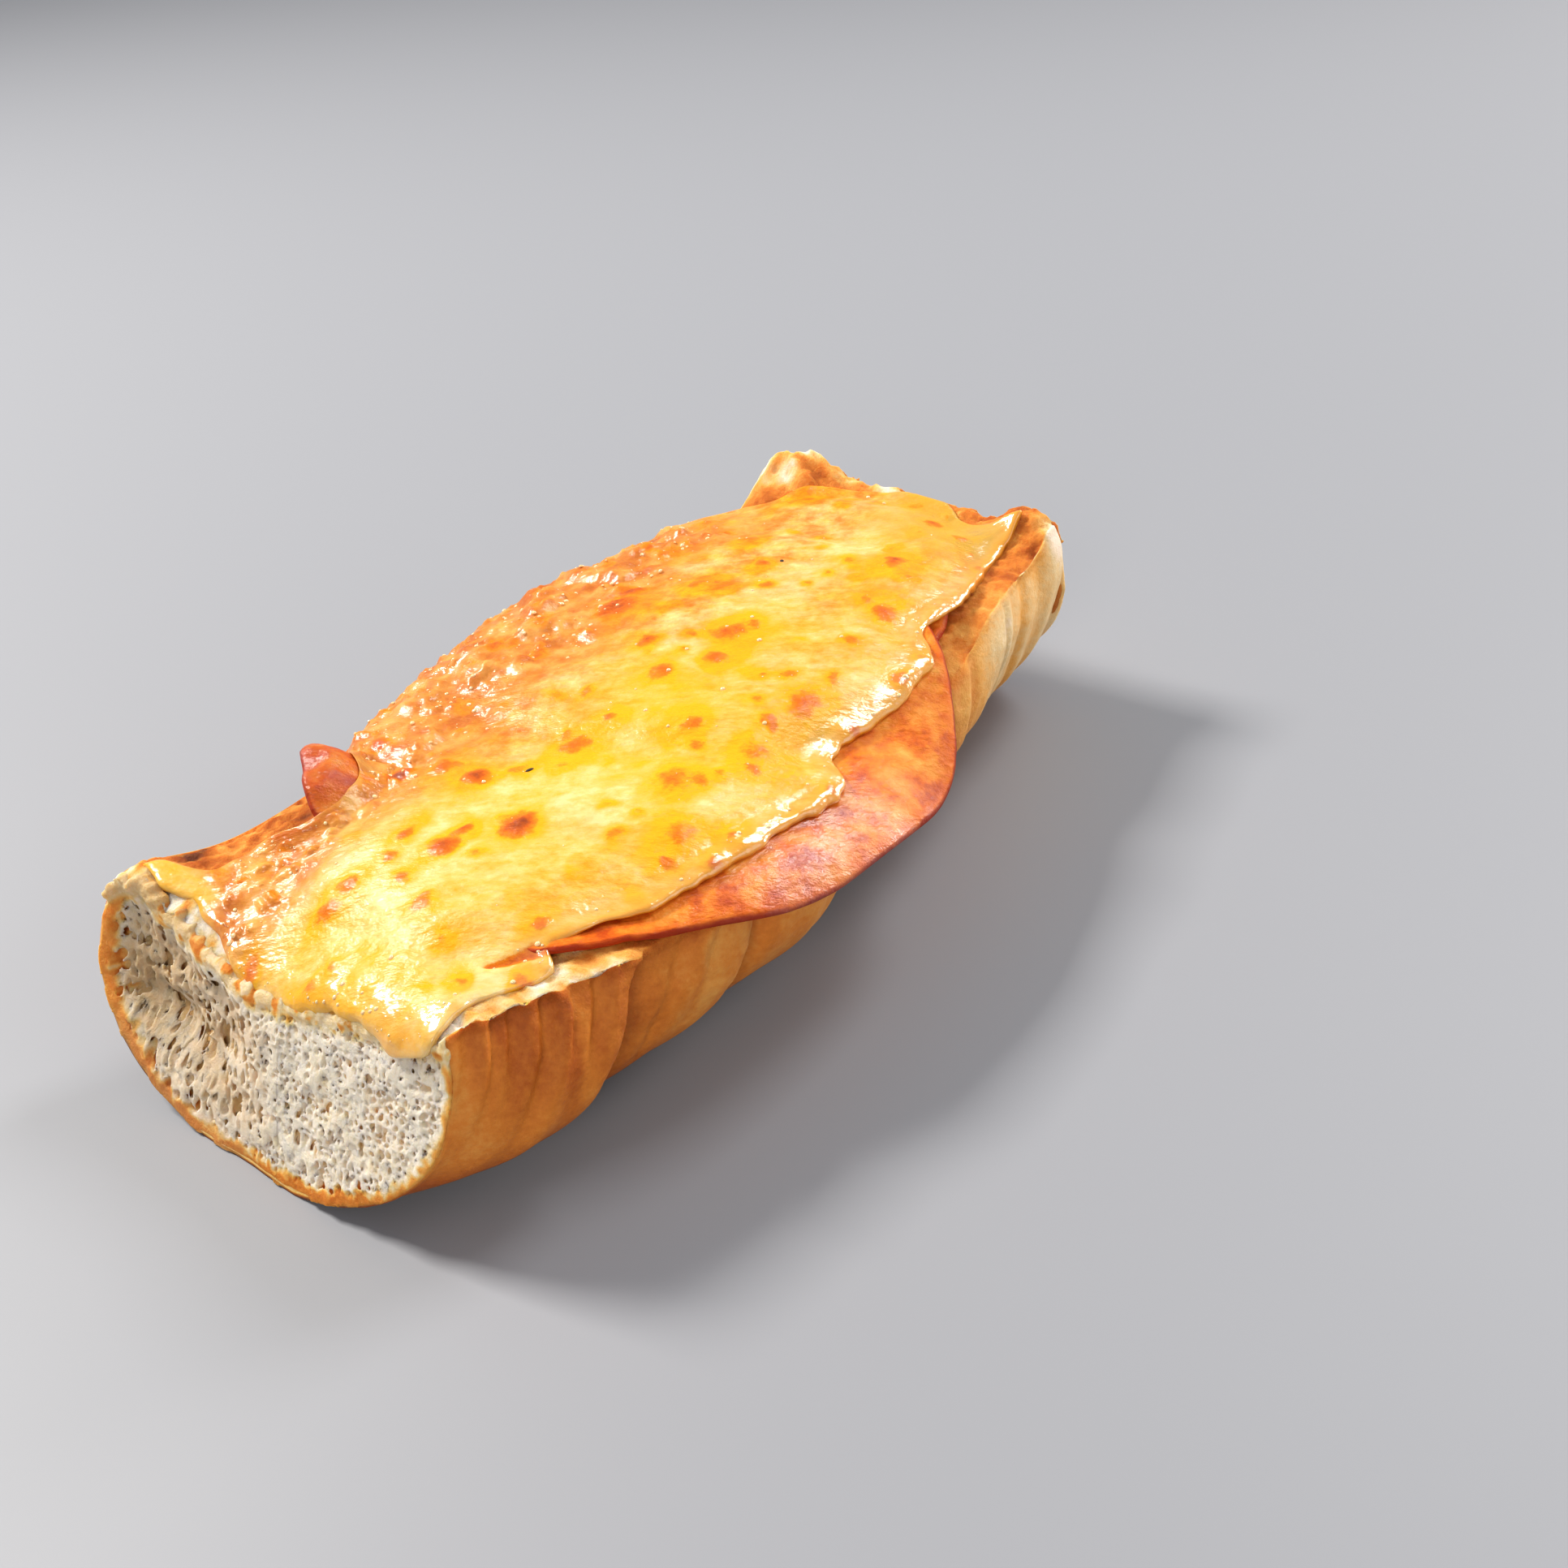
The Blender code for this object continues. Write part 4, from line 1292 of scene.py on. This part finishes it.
ragged_x = cheese_x + 1.5 * MM * noise(83, 3.6 * MM, cheese_x, cheese_y, octaves=3)
ragged_y = cheese_y + 1.5 * MM * noise(84, 3.6 * MM, cheese_x, cheese_y, octaves=3)
brown, fat, domes = (np.zeros_like(cheese_x) for _ in range(3))
for at_x, at_y, radius, depth in BLISTERS:
    away = np.hypot(ragged_x - at_x * MM, (ragged_y - at_y * MM) * 1.2)
    brown = np.maximum(brown, depth * bell(away, 1.05 * radius * MM))
    fat = np.maximum(fat, bell(away, (1.7 * radius + 1.6) * MM))
    domes = np.maximum(domes, 0.42 * MM * bell(away, 0.9 * radius * MM))
slit_x, slit_y = np.array([-63.4, -61.0, -58.4, -55.4]) * MM, np.array([-28.8, -30.6, -32.2, -33.6]) * MM
slit_away = 0.66 * np.abs(cheese_y - np.interp(cheese_x, slit_x, slit_y))
slit_share = np.clip((cheese_x + 63.4 * MM) / (6.6 * MM), 0, 1)
slit = (
    bell(slit_away, (0.25 + 0.75 * slit_share) * MM) * smooth_step((cheese_x + 63.8 * MM) / (1.5 * MM))
    * smooth_step((-55.6 * MM - cheese_x) / (1 * MM))
)
brown = np.maximum(brown, 0.62 * slit)
near_dot, dot = scattered(85, 6.5 * MM, ragged_x, ragged_y)
size = (0.4 + 1.2 * dot) * MM
brown = np.maximum(brown, 0.50 * dot * bell(near_dot, size))
fat = np.maximum(fat, 0.9 * bell(near_dot, 2.0 * size) * smooth_step((dot - 0.3) / 0.2))
domes = np.maximum(domes, 0.2 * MM * bell(near_dot, size) * smooth_step((dot - 0.3) / 0.2))
puddles = smooth_step(0.5 + 1.3 * noise(86, 13 * MM, cheese_x, 1.6 * cheese_y, octaves=2))
fat = np.clip(fat + 0.45 * puddles * bell((cheese_y + 12 * MM), 26 * MM), 0, 1)
print(
    "large blisters:", len(BLISTERS), "- share of the sheet that browned:",
    round(float((brown > 0.3).mean()), 3)
)

# %% [markdown]
# ## Thick, thin and streaked
#
# Along the back the cheese thinned to a skin over the meat, so the meat's pink shows through and fine
# bubbles crowd together. Along the front it piled up into a smooth ridge that catches the light.

# %% The sheet's thickness
back_line_y = 8.5 * MM + 3.5 * MM * noise(87, 16 * MM, cheese_x) + 2 * MM * np.sin(cheese_x / (26 * MM))
thinned = (
    smooth_step((ragged_y - back_line_y + 6 * MM) / (12 * MM))
    * smooth_step((58 * MM - cheese_x) / (20 * MM))
)
near_back = smooth_step((-46 * MM - cheese_x) / (8 * MM)) * smooth_step((ragged_y - 4 * MM) / (6 * MM))
tongue = smooth_step((-67.5 * MM - cheese_x) / (2.5 * MM)) * smooth_step((cheese_y - 14 * MM) / (5 * MM))
near_back *= smooth_step((cheese_x + 70 * MM) / (3 * MM))
thinned = np.maximum(thinned, near_back) * (1 - tongue)
ridge = (
    bell(rim_gap - 1.8 * MM, 1.5 * MM) * smooth_step((-28 * MM - cheese_y) / (6 * MM))
    * smooth_step((cheese_x + 50 * MM) / (12 * MM))
)
pucker = (
    0.30 * MM * noise(88, 9 * MM, cheese_x, cheese_y)
    + 0.13 * MM * noise(89, 2.6 * MM, cheese_x, cheese_y, octaves=2)
)
bubble_gap, bubble = scattered(90, 2.4 * MM, ragged_x, ragged_y, jitter=1.0)
froth = np.clip(thinned**2 + 0.35 * bell(rim_gap, 3.2 * MM) * (cheese_x < -52 * MM) * (1 - tongue), 0, 1)
bubble_round = np.sqrt(np.clip(1 - (bubble_gap / ((0.25 + 1.1 * bubble**2) * MM)) ** 2, 0, 1))
swellings = smooth_step(1.6 * noise(92, 5 * MM, cheese_x, cheese_y, octaves=2))
bubbles = froth * (0.50 * MM * bubble_round * (0.4 + bubble) + (1.2 - 0.9 * near_back) * MM * swellings)
front_corner = smooth_step((-56 * MM - cheese_x) / (6 * MM)) * smooth_step((-18 * MM - cheese_y) / (8 * MM))
lip = (
    0.24 + 0.16 * smooth_step((-60 * MM - cheese_x) / (9 * MM)) * (1 - front_corner)
    + 0.10 * noise(91, 7 * MM, cheese_x, cheese_y)
)
thick = 2.6 * MM - 1.2 * MM * thinned - 1.0 * MM * front_corner - 1.1 * MM * tongue
rim_round = np.sqrt(1 - (1 - np.clip(rim_gap / (0.9 * MM), 0, 1)) ** 2)
profile = lip * rim_round + (1 - lip) * smooth_step(rim_gap / (12 * MM))
height = (
    thick * profile + 0.55 * MM * ridge * (0.6 + 0.7 * noise(93, 4 * MM, cheese_x, cheese_y, octaves=2))
    + (pucker + domes + bubbles - 0.5 * MM * slit) * smooth_step(rim_gap / (1.5 * MM))
)
cheese_start = layer_height(cheese_x, cheese_y, [BACK_SLICE, FRONT_SLICE])
sunk = 0.25 * MM * smooth_step(rim_gap / (2 * MM))
on_meat = [
    smooth_step(1.5 * slice_share(cheese_x, cheese_y, disc) - 0.5)
    for disc in (BACK_SLICE, FRONT_SLICE)
]
bare = (1 - on_meat[0]) * (1 - on_meat[1])
underside = (cheese_start - sunk) * (1 - bare) - 0.2 * MM * bare
low, high = lifted(cheese_x, cheese_y, underside), lifted(cheese_x, cheese_y, cheese_start + height)
high[border] = low[border]
print("the cheese is up to", round(1000 * float(height.max()), 1), "mm thick")


# %% [markdown]
# ## Closing the sheet
#
# A Solidify modifier would give the blanket one thickness. Here top and underside are two grids with their
# own heights that share the points of the border, so the sheet ends in a thin rim and has no loose edge.


# %% Close the sheet
def closed_sheet(low, high, border):
    """One closed skin from two like grids that share their border points."""
    count = border.size
    number = np.arange(count).reshape(border.shape)
    top = grid_faces(*border.shape)
    upper = np.where(border.ravel(), number.ravel(), count + number.ravel())
    faces = np.concatenate([top[:, ::-1], upper[top]])
    used = np.unique(faces)
    points = np.concatenate([low.reshape(-1, 3), high.reshape(-1, 3)])[used]
    return points, np.searchsorted(used, faces), used % count


points, faces, sources = closed_sheet(low, high, border)
faces = facing_out(points, faces)
print("the cheese has", len(points), "points")

# %% [markdown]
# ## The cheese's finish
#
# Melted cheese lets light in, so the finish has a strong subsurface share. Its colour starts as cream with
# fine streaks and turns egg yellow in the puddles of fat. Tan mottles spread over the back (warm), the
# thinned part takes the meat's colour, the far front turns olive, the front rim is amber where it is thin
# (clear), and blisters go from orange to brown. The clear coat follows shine, and stands mainly on the
# front lip and the froth: a coat all over would look like plastic.

# %% Mix the cheese finish
STREAK_TURN = -0.93
cheese_finish, tree, shader = new_finish(
    "melted cheese", 0.40, Coat_IOR=2.1, Subsurface_Weight=0.3, Subsurface_Radius=(1.0, 0.6, 0.15),
    Subsurface_Scale=0.003, Coat_Roughness=0.06, Specular_IOR_Level=0.25
)
streak = grain(tree, 340, 5, 0.7, (3.0, 0.9, 1), STREAK_TURN)
curds = grain(tree, 800, 4, 0.65, (1.3, 1, 1), STREAK_TURN)
cloud = grain(tree, 70, 3, 0.55)
milk = sums(tree, "ADD", sums(tree, "MULTIPLY", streak, 0.34), sums(tree, "MULTIPLY", curds, 0.26))
cream = ramp(
    tree,
    sums(tree, "ADD", milk, sums(tree, "MULTIPLY", cloud, 0.40)),
    (0.38, (0.80, 0.32, 0.008)),
    (0.45, (0.83, 0.41, 0.05)),
    (0.52, (0.85, 0.50, 0.13)),
    (0.60, (0.88, 0.61, 0.25)),
)
colour = blend_colours(
    tree, sharpened(tree, number_of(tree, "fat"), grain(tree, 330, 4, 0.7), 0.55, 2.2, 0.7), cream,
    (0.83, 0.39, 0.001)
)
tanned = sums(tree, "MULTIPLY_ADD", grain(tree, 230, 5, 0.7), 3.2, -1.05)
tanned.node.use_clamp = True
colour = blend_colours(
    tree, sums(tree, "MULTIPLY", number_of(tree, "warm"), tanned), colour, (0.90, 0.40, 0.20), "MULTIPLY"
)
meaty = sums(tree, "MULTIPLY_ADD", grain(tree, 180, 4, 0.65), 0.7, 0.60)
skin = ramp(
    tree, grain(tree, 190, 4, 0.6), (0.36, (0.50, 0.120, 0.009)), (0.50, (0.62, 0.215, 0.026)),
    (0.64, (0.74, 0.35, 0.075))
)
colour = blend_colours(tree, sums(tree, "MULTIPLY", number_of(tree, "thinned"), meaty), colour, skin)
colour = blend_colours(
    tree, sums(tree, "MULTIPLY", number_of(tree, "olive"), 0.80), colour, (0.56, 0.32, 0.030)
)
colour = blend_colours(
    tree, sums(tree, "MULTIPLY", number_of(tree, "clear"), 0.85), colour, (0.88, 0.34, 0.010)
)
ragged = grain(tree, 620, 5, 0.75)
number = sums(tree, "ADD", number_of(tree, "brown"), sums(tree, "MULTIPLY_ADD", ragged, 0.9, -0.45))
crowns = ramp(
    tree,
    number,
    (0.20, (0.78, 0.27, 0.001)),
    (0.44, (0.70, 0.17, 0.002)),
    (0.70, (0.52, 0.09, 0.002)),
    (0.98, (0.24, 0.035, 0.003)),
)
colour = blend_colours(
    tree, sharpened(tree, number_of(tree, "brown"), ragged, 0.26, 7.0, 0.40), colour, crowns
)
join(tree, colour, shader.inputs["Base Color"])
relief = sums(
    tree, "ADD", grain(tree, 700, 4, 0.6, (2.0, 0.9, 1), STREAK_TURN),
    sums(tree, "MULTIPLY", grain(tree, 190, 3, 0.6), 1.4)
)
raised(
    tree, shader,
    sums(tree, "MULTIPLY", relief, sums(tree, "MULTIPLY_ADD", number_of(tree, "shine"), -0.5, 1.0)), 0.0005,
    0.7
)
join(tree, sums(tree, "MULTIPLY_ADD", number_of(tree, "shine"), 0.9, 0.06), shader.inputs["Coat Weight"])

olive = smooth_step((cheese_x - 48 * MM) / (14 * MM)) * smooth_step((4 * MM - cheese_y) / (16 * MM))
warm = smooth_step((cheese_y + 13 * MM) / (22 * MM)) * smooth_step((cheese_x + 62 * MM) / (30 * MM))
warm += 0.45 * smooth_step((cheese_x + 10 * MM) / (50 * MM))
warm = np.clip(warm + 0.35 * noise(94, 9 * MM, cheese_x, cheese_y, octaves=2), 0, 1) * (1 - tongue)
shine = np.maximum(
    0.22 * froth * (1 - 0.7 * near_back),
    smooth_step((5 * MM - rim_gap) / (3 * MM)) * smooth_step((-14 * MM - cheese_y) / (10 * MM))
)
shine = np.maximum(
    shine, 0.5 * bell(rim_gap - 1.5 * MM, 2 * MM) * smooth_step((-66 * MM - cheese_x) / (5 * MM))
)
clear = (
    bell(rim_gap, 1.5 * MM) * smooth_step((-16 * MM - cheese_y) / (8 * MM))
    * smooth_step((cheese_x + 60 * MM) / (8 * MM))
)
near_yellow = smooth_step((-60 * MM - cheese_x) / (8 * MM)) * smooth_step((10 * MM - cheese_y) / (10 * MM))
near_yellow *= 0.5 + 0.4 * noise(96, 7 * MM, cheese_x, cheese_y, octaves=2)
fat = np.maximum(fat, np.maximum(0.6 * tongue, near_yellow))
fields = {
    "brown": brown, "fat": fat, "thinned": thinned, "olive": olive, "warm": warm, "clear": clear,
    "shine": shine
}
add_piece(
    "cheese_blanket", points, faces, "cheese", ["cheese"], cheese_finish,
    **{label: field.ravel()[sources] for label, field in fields.items()}
)

# %% [markdown]
# ## Bubbles and specks
#
# Small bubbles of fat stand on the froth, along the front lip and round the blisters. They are painted pale,
# partly as a painted highlight so that they read as white specks, and their coat gives each a real white
# glint. A few hundred are joined into one mesh, because they never move apart. Each is a ball of three rings
# and two poles, flattened and set into the cheese along its upright, so it has only 48 triangles. Their
# places are drawn from a fixed seed, with the odds weighted by the froth.

# %% Scatter the bubbles
SIDES, RINGS = 8, 3
BUBBLE_COUNT = 520


def uprights(surface):
    """Unit vectors square to a grid of points: the cross product of its steps along rows and columns."""
    along_rows, along_columns = np.gradient(surface, axis=0), np.gradient(surface, axis=1)
    square = np.cross(along_rows, along_columns)
    area = np.linalg.norm(square, axis=-1, keepdims=True)
    square = square / np.maximum(area, 1e-15)
    return square * np.sign(square[..., 2:3] + 1e-9), area[..., 0]


def balls(centres, axes, lengths):
    """Points and quads of many eight-sided balls: each is stretched along its own three axes by three
    lengths."""
    tilt, turn = np.meshgrid(
        np.pi * np.array([1, 2, 3]) / 4, 2 * np.pi * np.arange(SIDES) / SIDES, indexing="ij"
    )
    unit = np.stack(
        [np.sin(tilt) * np.cos(turn), np.sin(tilt) * np.sin(turn), np.cos(tilt)], axis=-1
    ).reshape(-1, 3)
    unit = np.concatenate([unit, [[0, 0, 1], [0, 0, -1]]])
    spoke = np.arange(SIDES)
    following = (spoke + 1) % SIDES
    last, poles = (RINGS - 1) * SIDES, RINGS * SIDES
    top = np.stack([np.full(SIDES, poles), spoke, following, following], axis=-1)
    bottom = np.stack([np.full(SIDES, poles + 1), last + following, last + spoke, last + spoke], axis=-1)
    one = np.concatenate([grid_faces(RINGS, SIDES, closed=True)[:, ::-1], top, bottom])
    points = centres[:, None] + np.einsum("pi,ni,nij->npj", unit, lengths, axes)
    faces = (one[None] + len(unit) * np.arange(len(centres))[:, None, None]).reshape(-1, 4)
    return points.reshape(-1, 3), faces


def framed(upright):
    """Three square directions for each upright, the last along it."""
    side = np.cross(upright, [0.3, 0.9, 0.1])
    side /= np.linalg.norm(side, axis=-1, keepdims=True)
    return np.stack([side, np.cross(upright, side), upright], axis=-2)


upright, area = uprights(high)
lip_odds = (
    bell(rim_gap - 1.4 * MM, 0.8 * MM) * smooth_step((-26 * MM - cheese_y) / (5 * MM))
    * smooth_step((50 * MM - cheese_x) / (20 * MM))
)
end_odds = bell(rim_gap - 1.2 * MM, 0.9 * MM) * smooth_step((-70 * MM - cheese_x) / (3 * MM))
odds = (
    (froth * (0.35 + bubble) + 1.6 * lip_odds + 1.2 * end_odds + 0.5 * bell(brown - 0.35, 0.12) + 0.03)
    * area * (rim_gap > 0.6 * MM)
)
draw = np.random.default_rng(11)
picked = draw.choice(odds.size, BUBBLE_COUNT, replace=False, p=(odds / odds.sum()).ravel())
radius = (0.10 + 0.34 * draw.random(BUBBLE_COUNT) ** 2.5) * MM
bubble_axes = framed(upright.reshape(-1, 3)[picked])
bubble_points, bubble_faces = balls(
    high.reshape(-1, 3)[picked], bubble_axes, radius[:, None] * np.array([1.1, 0.9, 0.7])
)
# The pale base colour is partly a painted highlight, which makes the bubbles read as white glints.
bubble_finish, tree, shader = new_finish(
    "pale bubble", 0.2, Subsurface_Weight=0.3, Subsurface_Scale=0.0005, Coat_Weight=1.0,
    Coat_Roughness=0.05, Base_Color=(0.95, 0.68, 0.34, 1)
)
bubble_faces = facing_out(bubble_points, bubble_faces)
add_piece("cheese_bubbles", bubble_points, bubble_faces, "cheese", (), bubble_finish)

# %% [markdown]
# ## Herb specks
#
# Two specks of burnt herb lie on the cheese. Each is the same small ball, drawn long and nearly black, and
# it stands on the sheet's nearest grid point.

# %% Two herb specks
speck_places = np.array([[36.1, -2.3], [-30.3, -6.8]]) * MM
nearest = [int(np.argmin(np.hypot(cheese_x - px, cheese_y - py))) for px, py in speck_places]
speck_axes = framed(upright.reshape(-1, 3)[nearest])
speck_points, speck_faces = balls(
    high.reshape(-1, 3)[nearest], speck_axes, np.array([[0.35, 0.4, 0.2], [0.75, 0.28, 0.2]]) * MM
)
speck_finish, tree, shader = new_finish("burnt herb", 0.6, Base_Color=(0.03, 0.018, 0.006, 1))
add_piece("herb_specks", speck_points, facing_out(speck_points, speck_faces), "cheese", (), speck_finish)

# %% [markdown]
# ## The table
#
# The table is one plain pale sheet, wider than anything the camera sees. It is staged, so it belongs to the
# picture and not to the object. Its own colour is a middle grey, because the strong lamp behind the roll
# lifts it a lot.

# %% Floor
FLOOR_WIDTH = 6
floor_finish, tree, shader = new_finish("pale table", 0.55, Base_Color=(0.27, 0.277, 0.300, 1))
bpy.ops.mesh.primitive_plane_add(size=FLOOR_WIDTH)
floor = bpy.context.object
floor.name = "floor"
floor.data.materials.append(floor_finish)
print("the floor is", round(floor.dimensions.x, 1), "m wide")

# %% [markdown]
# ## Light
#
# Melted food looks wet when the main light stands behind it: the light rakes over every bump, and its glare
# runs towards the camera. So the key light is behind and to the left. A weaker lamp on the right is placed
# by the mirror rule, where a line of sight reflects off the hanging slice and the cheese's front lip, and
# draws glints there. Two weak boxes fill the crust and the crumb, one warms the far side, and the sky is a
# faint cool blue. Each box is turned so that its back, +Z, points away from the roll.


# %% Lights
def softbox(name, direction, distance, size, watts, colour=(1, 1, 1)):
    """A square area light a distance away from the roll in a direction, aimed at it."""
    light = bpy.data.lights.new(name, "AREA")
    light.size, light.energy, light.color = size, watts, colour
    lamp = bpy.data.objects.new(name, light)
    bpy.context.scene.collection.objects.link(lamp)
    way = Vector(direction).normalized()
    lamp.location = Vector(FACE_MIDDLE) + way * distance
    lamp.rotation_euler = way.to_track_quat("Z", "Y").to_euler()


softbox("key", (-0.16, 0.91, 0.95), 1.2, 0.30, 21, (1.0, 0.96, 0.90))
softbox("gloss", (0.64, -0.17, 0.73), 1.1, 0.36, 5.5)
softbox("fill", (0.25, -0.95, 0.35), 1.3, 0.7, 2)
softbox("near fill", (-0.95, -0.45, 0.50), 1.3, 0.4, 5, (1.0, 0.95, 0.88))
softbox("side", (0.95, -0.38, 0.22), 1.2, 0.35, 8, (1.0, 0.93, 0.84))
world = bpy.data.worlds.new("studio")
bpy.context.scene.world = world
world.use_nodes = True
world.node_tree.nodes["Background"].inputs["Color"].default_value = (0.9, 0.93, 1.0, 1)
world.node_tree.nodes["Background"].inputs["Strength"].default_value = 0.3
bpy.context.scene.view_settings.view_transform = "Standard"
